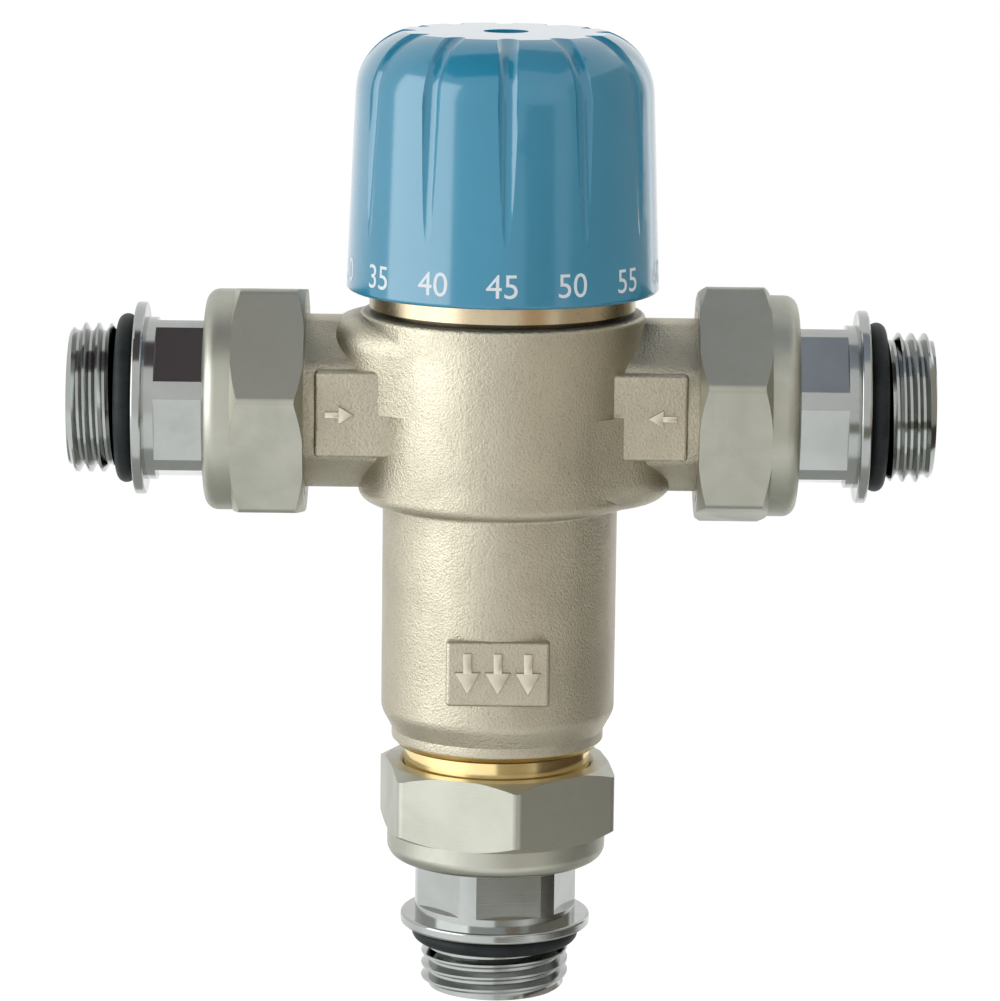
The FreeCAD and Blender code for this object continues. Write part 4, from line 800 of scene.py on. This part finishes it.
class MIXINGVALVE_OT_springs(bpy.types.Operator):
    """Finishes the four coil springs and attaches each to its body."""
    bl_idname = "mixing_valve.springs"
    bl_label = "Springs"

    def execute(self, context):
        settings = context.scene.valve_springs
        along_x, along_z = (1, 0, 0), (0, 0, 1)
        inner_cold_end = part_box("check_spring_cold")[1]
        inner_hot_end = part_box("check_spring_hot")[0]
        overtravel_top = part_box("overtravel_spring")[1]
        return_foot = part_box("return_spring")[0]
        check, overtravel, shuttle = settings.check_travel, settings.overtravel, settings.shuttle_travel
        for node, body, joint, axis, fixed_end, travel in (
            ("check_spring_cold", "casting", "cold_check_lift", along_x, inner_cold_end, check),
            ("check_spring_hot", "casting", "hot_check_lift", along_x, inner_hot_end, check),
            ("overtravel_spring", "plunger", "overtravel_give", along_z, overtravel_top, overtravel),
            ("return_spring", "casting", "shuttle_slide", along_z, return_foot, shuttle),
        ):
            compressed_spring(node, body)
        return {"FINISHED"}


class MIXINGVALVE_OT_inner_parts(bpy.types.Operator):
    """Finishes the parts inside the body, seen through its ports."""
    bl_idname = "mixing_valve.inner_parts"
    bl_label = "Inner parts"

    def execute(self, context):
        finish_nodes("turned_brass", "adjusting_spindle", "setting_plunger", "overtravel_cup", "wax_element")
        finish_nodes("bright_steel", "push_rod", "spindle_clip", "overtravel_clip", "strainer_cold",
                     "strainer_hot")
        finish_nodes("black_rubber", "bonnet_seal", "spindle_seal", "shuttle_seal")
        finish_nodes("moulded_white", "mixing_shuttle", "check_housing_cold", "check_housing_hot",
                     "check_poppet_cold", "check_poppet_hot")
        return {"FINISHED"}


class MIXINGVALVE_OT_studio(bpy.types.Operator):
    """Sets up the camera, the lamps, the floor and the background."""
    bl_idname = "mixing_valve.studio"
    bl_label = "Studio"

    def execute(self, context):
        settings = context.scene.valve_studio
        place_camera(context.scene, settings)
        place_lamps(context.scene, settings)
        place_cards(context.scene)
        place_floor(context.scene, settings)
        light_world(context.scene, settings)
        context.scene.view_settings.view_transform = "Standard"
        return {"FINISHED"}


# Width in millimetres of the frame on which the lens's focal length is given
SENSOR_WIDTH = 36.0


def place_camera(scene, settings):
    """A long lens in front of the valve, a little above its arms."""
    data = bpy.data.cameras.new("camera")
    data.lens = settings.lens
    data.sensor_width = SENSOR_WIDTH
    camera = bpy.data.objects.new("camera", data)
    scene.collection.objects.link(camera)
    place = Vector((0, -settings.distance, ARMS_HEIGHT + settings.height))
    aim = Vector((0, 0, ARMS_HEIGHT - settings.aim_drop))
    turn = (aim - place).to_track_quat("-Z", "Y").to_matrix().to_4x4()
    camera.matrix_world = Matrix.Translation(place) @ turn @ Matrix.Rotation(settings.roll, 4, "Z")
    scene.camera = camera


def facing_centre(offset):
    """A place beside the arms, turned to face them."""
    centre = Vector((0, 0, ARMS_HEIGHT))
    turn = (-Vector(offset)).to_track_quat("-Z", "Y").to_matrix().to_4x4()
    return Matrix.Translation(centre + Vector(offset)) @ turn


def place_lamps(scene, settings):
    """A wide soft key on the left, a soft fill in front on the right and a strip behind it."""
    for name, offset, width, height, power, shows in (
        ("key_left", (-0.875, -0.40, 0.10), 1.0, 1.1, 8.8, True),
        ("fill_right", (0.40, -0.50, 0.30), 0.30, 0.3, 1.1, False),
        ("strip_behind", (0.55, 0.75, 0.25), 0.16, 0.8, 0.2, True),
    ):
        data = bpy.data.lights.new(name, "AREA")
        data.shape = "RECTANGLE"
        data.size = width
        data.size_y = height
        data.energy = power
        data.color = settings.lamp_tint
        lamp = bpy.data.objects.new(name, data)
        scene.collection.objects.link(lamp)
        lamp.matrix_world = facing_centre(offset)
        lamp.visible_glossy = shows


def stage_sheet(scene, name, finish, width, depth, place, inputs):
    """A plain flat sheet of the studio, put in place, with a finish of its own."""
    bm = bmesh.new()
    bmesh.ops.create_grid(bm, x_segments=1, y_segments=1, size=0.5)
    bmesh.ops.scale(bm, vec=(width, depth, 1), verts=bm.verts)
    bmesh.ops.transform(bm, matrix=place, verts=bm.verts)
    mesh = bpy.data.meshes.new(name)
    bm.to_mesh(mesh)
    bm.free()
    sheet = bpy.data.objects.new(name, mesh)
    scene.collection.objects.link(sheet)
    tree, surface = blank_material(finish)
    feed_all(tree, surface, inputs)
    mesh.materials.append(bpy.data.materials[finish])
    return sheet, tree, surface


def card_place(stance, x, y, z):
    """Where a card stands, measured from the arms: flat, upright at the side, or facing them."""
    if stance == "facing":
        return facing_centre((x, y, z))
    level = Matrix.Translation((x, y, ARMS_HEIGHT + z))
    if stance == "upright":
        return level @ Matrix.Rotation(math.pi / 2, 4, "Z") @ Matrix.Rotation(math.pi / 2, 4, "X")
    return level


def place_cards(scene):
    """Cards at the right, overhead, on the floor and in front, unseen but for their reflections."""
    for name, stance, offset, width, depth, tone in (
        ("card_right_low", "upright", (0.42, 0.02, -0.155), 0.78, 0.135, (0.10, 0.08, 0.055)),
        ("card_right_high", "upright", (0.43, 0.02, 0.12), 0.78, 0.42, (0.76, 0.69, 0.58)),
        ("card_over_left", "flat", (-0.20, -0.17, 0.52), 0.40, 0.44, (0.17, 0.13, 0.14)),
        ("card_over_right", "flat", (0.18, -0.05, 0.52), 0.36, 0.42, (0.64, 0.68, 0.78)),
        ("card_floor", "flat", (0.25, -0.50, -0.17), 0.5, 0.38, (0.40, 0.39, 0.31)),
        ("card_floor_under", "flat", (0.0, 0.035, -0.17), 0.5, 0.23, (0.95, 0.95, 0.90)),
        ("card_front_brown", "facing", (0.20, -0.40, -0.03), 0.17, 0.20, (0.96, 0.68, 0.42)),
    ):
        card, _, _ = stage_sheet(scene, name, name, width, depth, card_place(stance, *offset),
                                 {"Base Color": tone, "Roughness": 1.0})
        card.visible_camera = False
        card.visible_shadow = False
        card.visible_diffuse = False


def place_floor(scene, settings):
    """A wide plain floor that keeps the valve's shadow."""
    place = Matrix.Translation((0, 0, CAD_BOX[0].z - settings.floor_drop))
    _, tree, surface = stage_sheet(
        scene, "floor", "floor_white", settings.floor_width, settings.floor_width, place,
        {"Base Color": (0.8, 0.8, 0.8), "Roughness": 0.9, "Emission Color": WHITE})
    feed_all(tree, surface, {"Emission Strength": seen_directly(tree, settings.floor_level)})


def seen_directly(tree, level):
    """The level for camera, glossy and transmission rays, and nothing for the rest."""
    path = shader(tree, "LightPath")
    polish = arithmetic(tree, "ADD", path.outputs["Is Glossy Ray"], path.outputs["Is Transmission Ray"])
    seen = arithmetic(tree, "ADD", path.outputs["Is Camera Ray"], polish, clamp=True)
    return arithmetic(tree, "MULTIPLY", seen, level)


def light_world(scene, settings):
    """A white surround for the camera and for polish, and a softer one for the light."""
    world = bpy.data.worlds.new("surround")
    world.use_nodes = True
    tree = world.node_tree
    tree.nodes.clear()
    strength = arithmetic(tree, "MAXIMUM", seen_directly(tree, 1.0), settings.surround_level)
    background = shader(tree, "Background", {"Color": WHITE, "Strength": strength})
    shader(tree, "OutputWorld", {"Surface": background.outputs[0]})
    scene.world = world


SETTINGS = {
    "valve_thread": ThreadSettings,
    "valve_neck": NeckSettings,
    "valve_knob": KnobSettings,
    "valve_marks": MarkSettings,
    "valve_springs": SpringSettings,
    "valve_metal": MetalSettings,
    "valve_soft": SoftSettings,
    "valve_studio": StudioSettings,
}

OPERATORS = (
    MIXINGVALVE_OT_finishes, MIXINGVALVE_OT_casting, MIXINGVALVE_OT_flow_arrows, MIXINGVALVE_OT_unions,
    MIXINGVALVE_OT_threaded_tails, MIXINGVALVE_OT_knob, MIXINGVALVE_OT_knob_scale,
    MIXINGVALVE_OT_springs, MIXINGVALVE_OT_inner_parts, MIXINGVALVE_OT_studio,
)


class MIXINGVALVE_PT_panel(bpy.types.Panel):
    """Lists the steps and settings of the mixing valve."""
    bl_idname = "MIXINGVALVE_PT_panel"
    bl_label = "Mixing valve"
    bl_space_type = "VIEW_3D"
    bl_region_type = "UI"
    bl_category = "Mixing valve"

    def draw(self, context):
        for operator in OPERATORS:
            self.layout.operator(operator.bl_idname)
        for name in SETTINGS:
            group = getattr(context.scene, name)
            box = self.layout.box()
            for field in group.bl_rna.properties:
                if not field.is_readonly and field.identifier != "name":
                    box.prop(group, field.identifier)


def register():
    """Adds the settings, operators and panel."""
    for group in SETTINGS.values():
        bpy.utils.register_class(group)
    for name, group in SETTINGS.items():
        setattr(bpy.types.Scene, name, PointerProperty(type=group))
    for cls in (*OPERATORS, MIXINGVALVE_PT_panel):
        bpy.utils.register_class(cls)


def unregister():
    """Takes the panel, operators and settings away again."""
    for cls in (MIXINGVALVE_PT_panel, *reversed(OPERATORS)):
        bpy.utils.unregister_class(cls)
    for name in SETTINGS:
        delattr(bpy.types.Scene, name)
    for group in reversed(SETTINGS.values()):
        bpy.utils.unregister_class(group)


def main():
    """Runs every step in order."""
    register()
    bpy.ops.mixing_valve.studio()
    bpy.ops.mixing_valve.finishes()
    bpy.ops.mixing_valve.casting()
    bpy.ops.mixing_valve.flow_arrows()
    bpy.ops.mixing_valve.unions()
    bpy.ops.mixing_valve.threaded_tails()
    bpy.ops.mixing_valve.knob()
    bpy.ops.mixing_valve.knob_scale()
    bpy.ops.mixing_valve.springs()
    bpy.ops.mixing_valve.inner_parts()


if __name__ == "__main__":
    main()
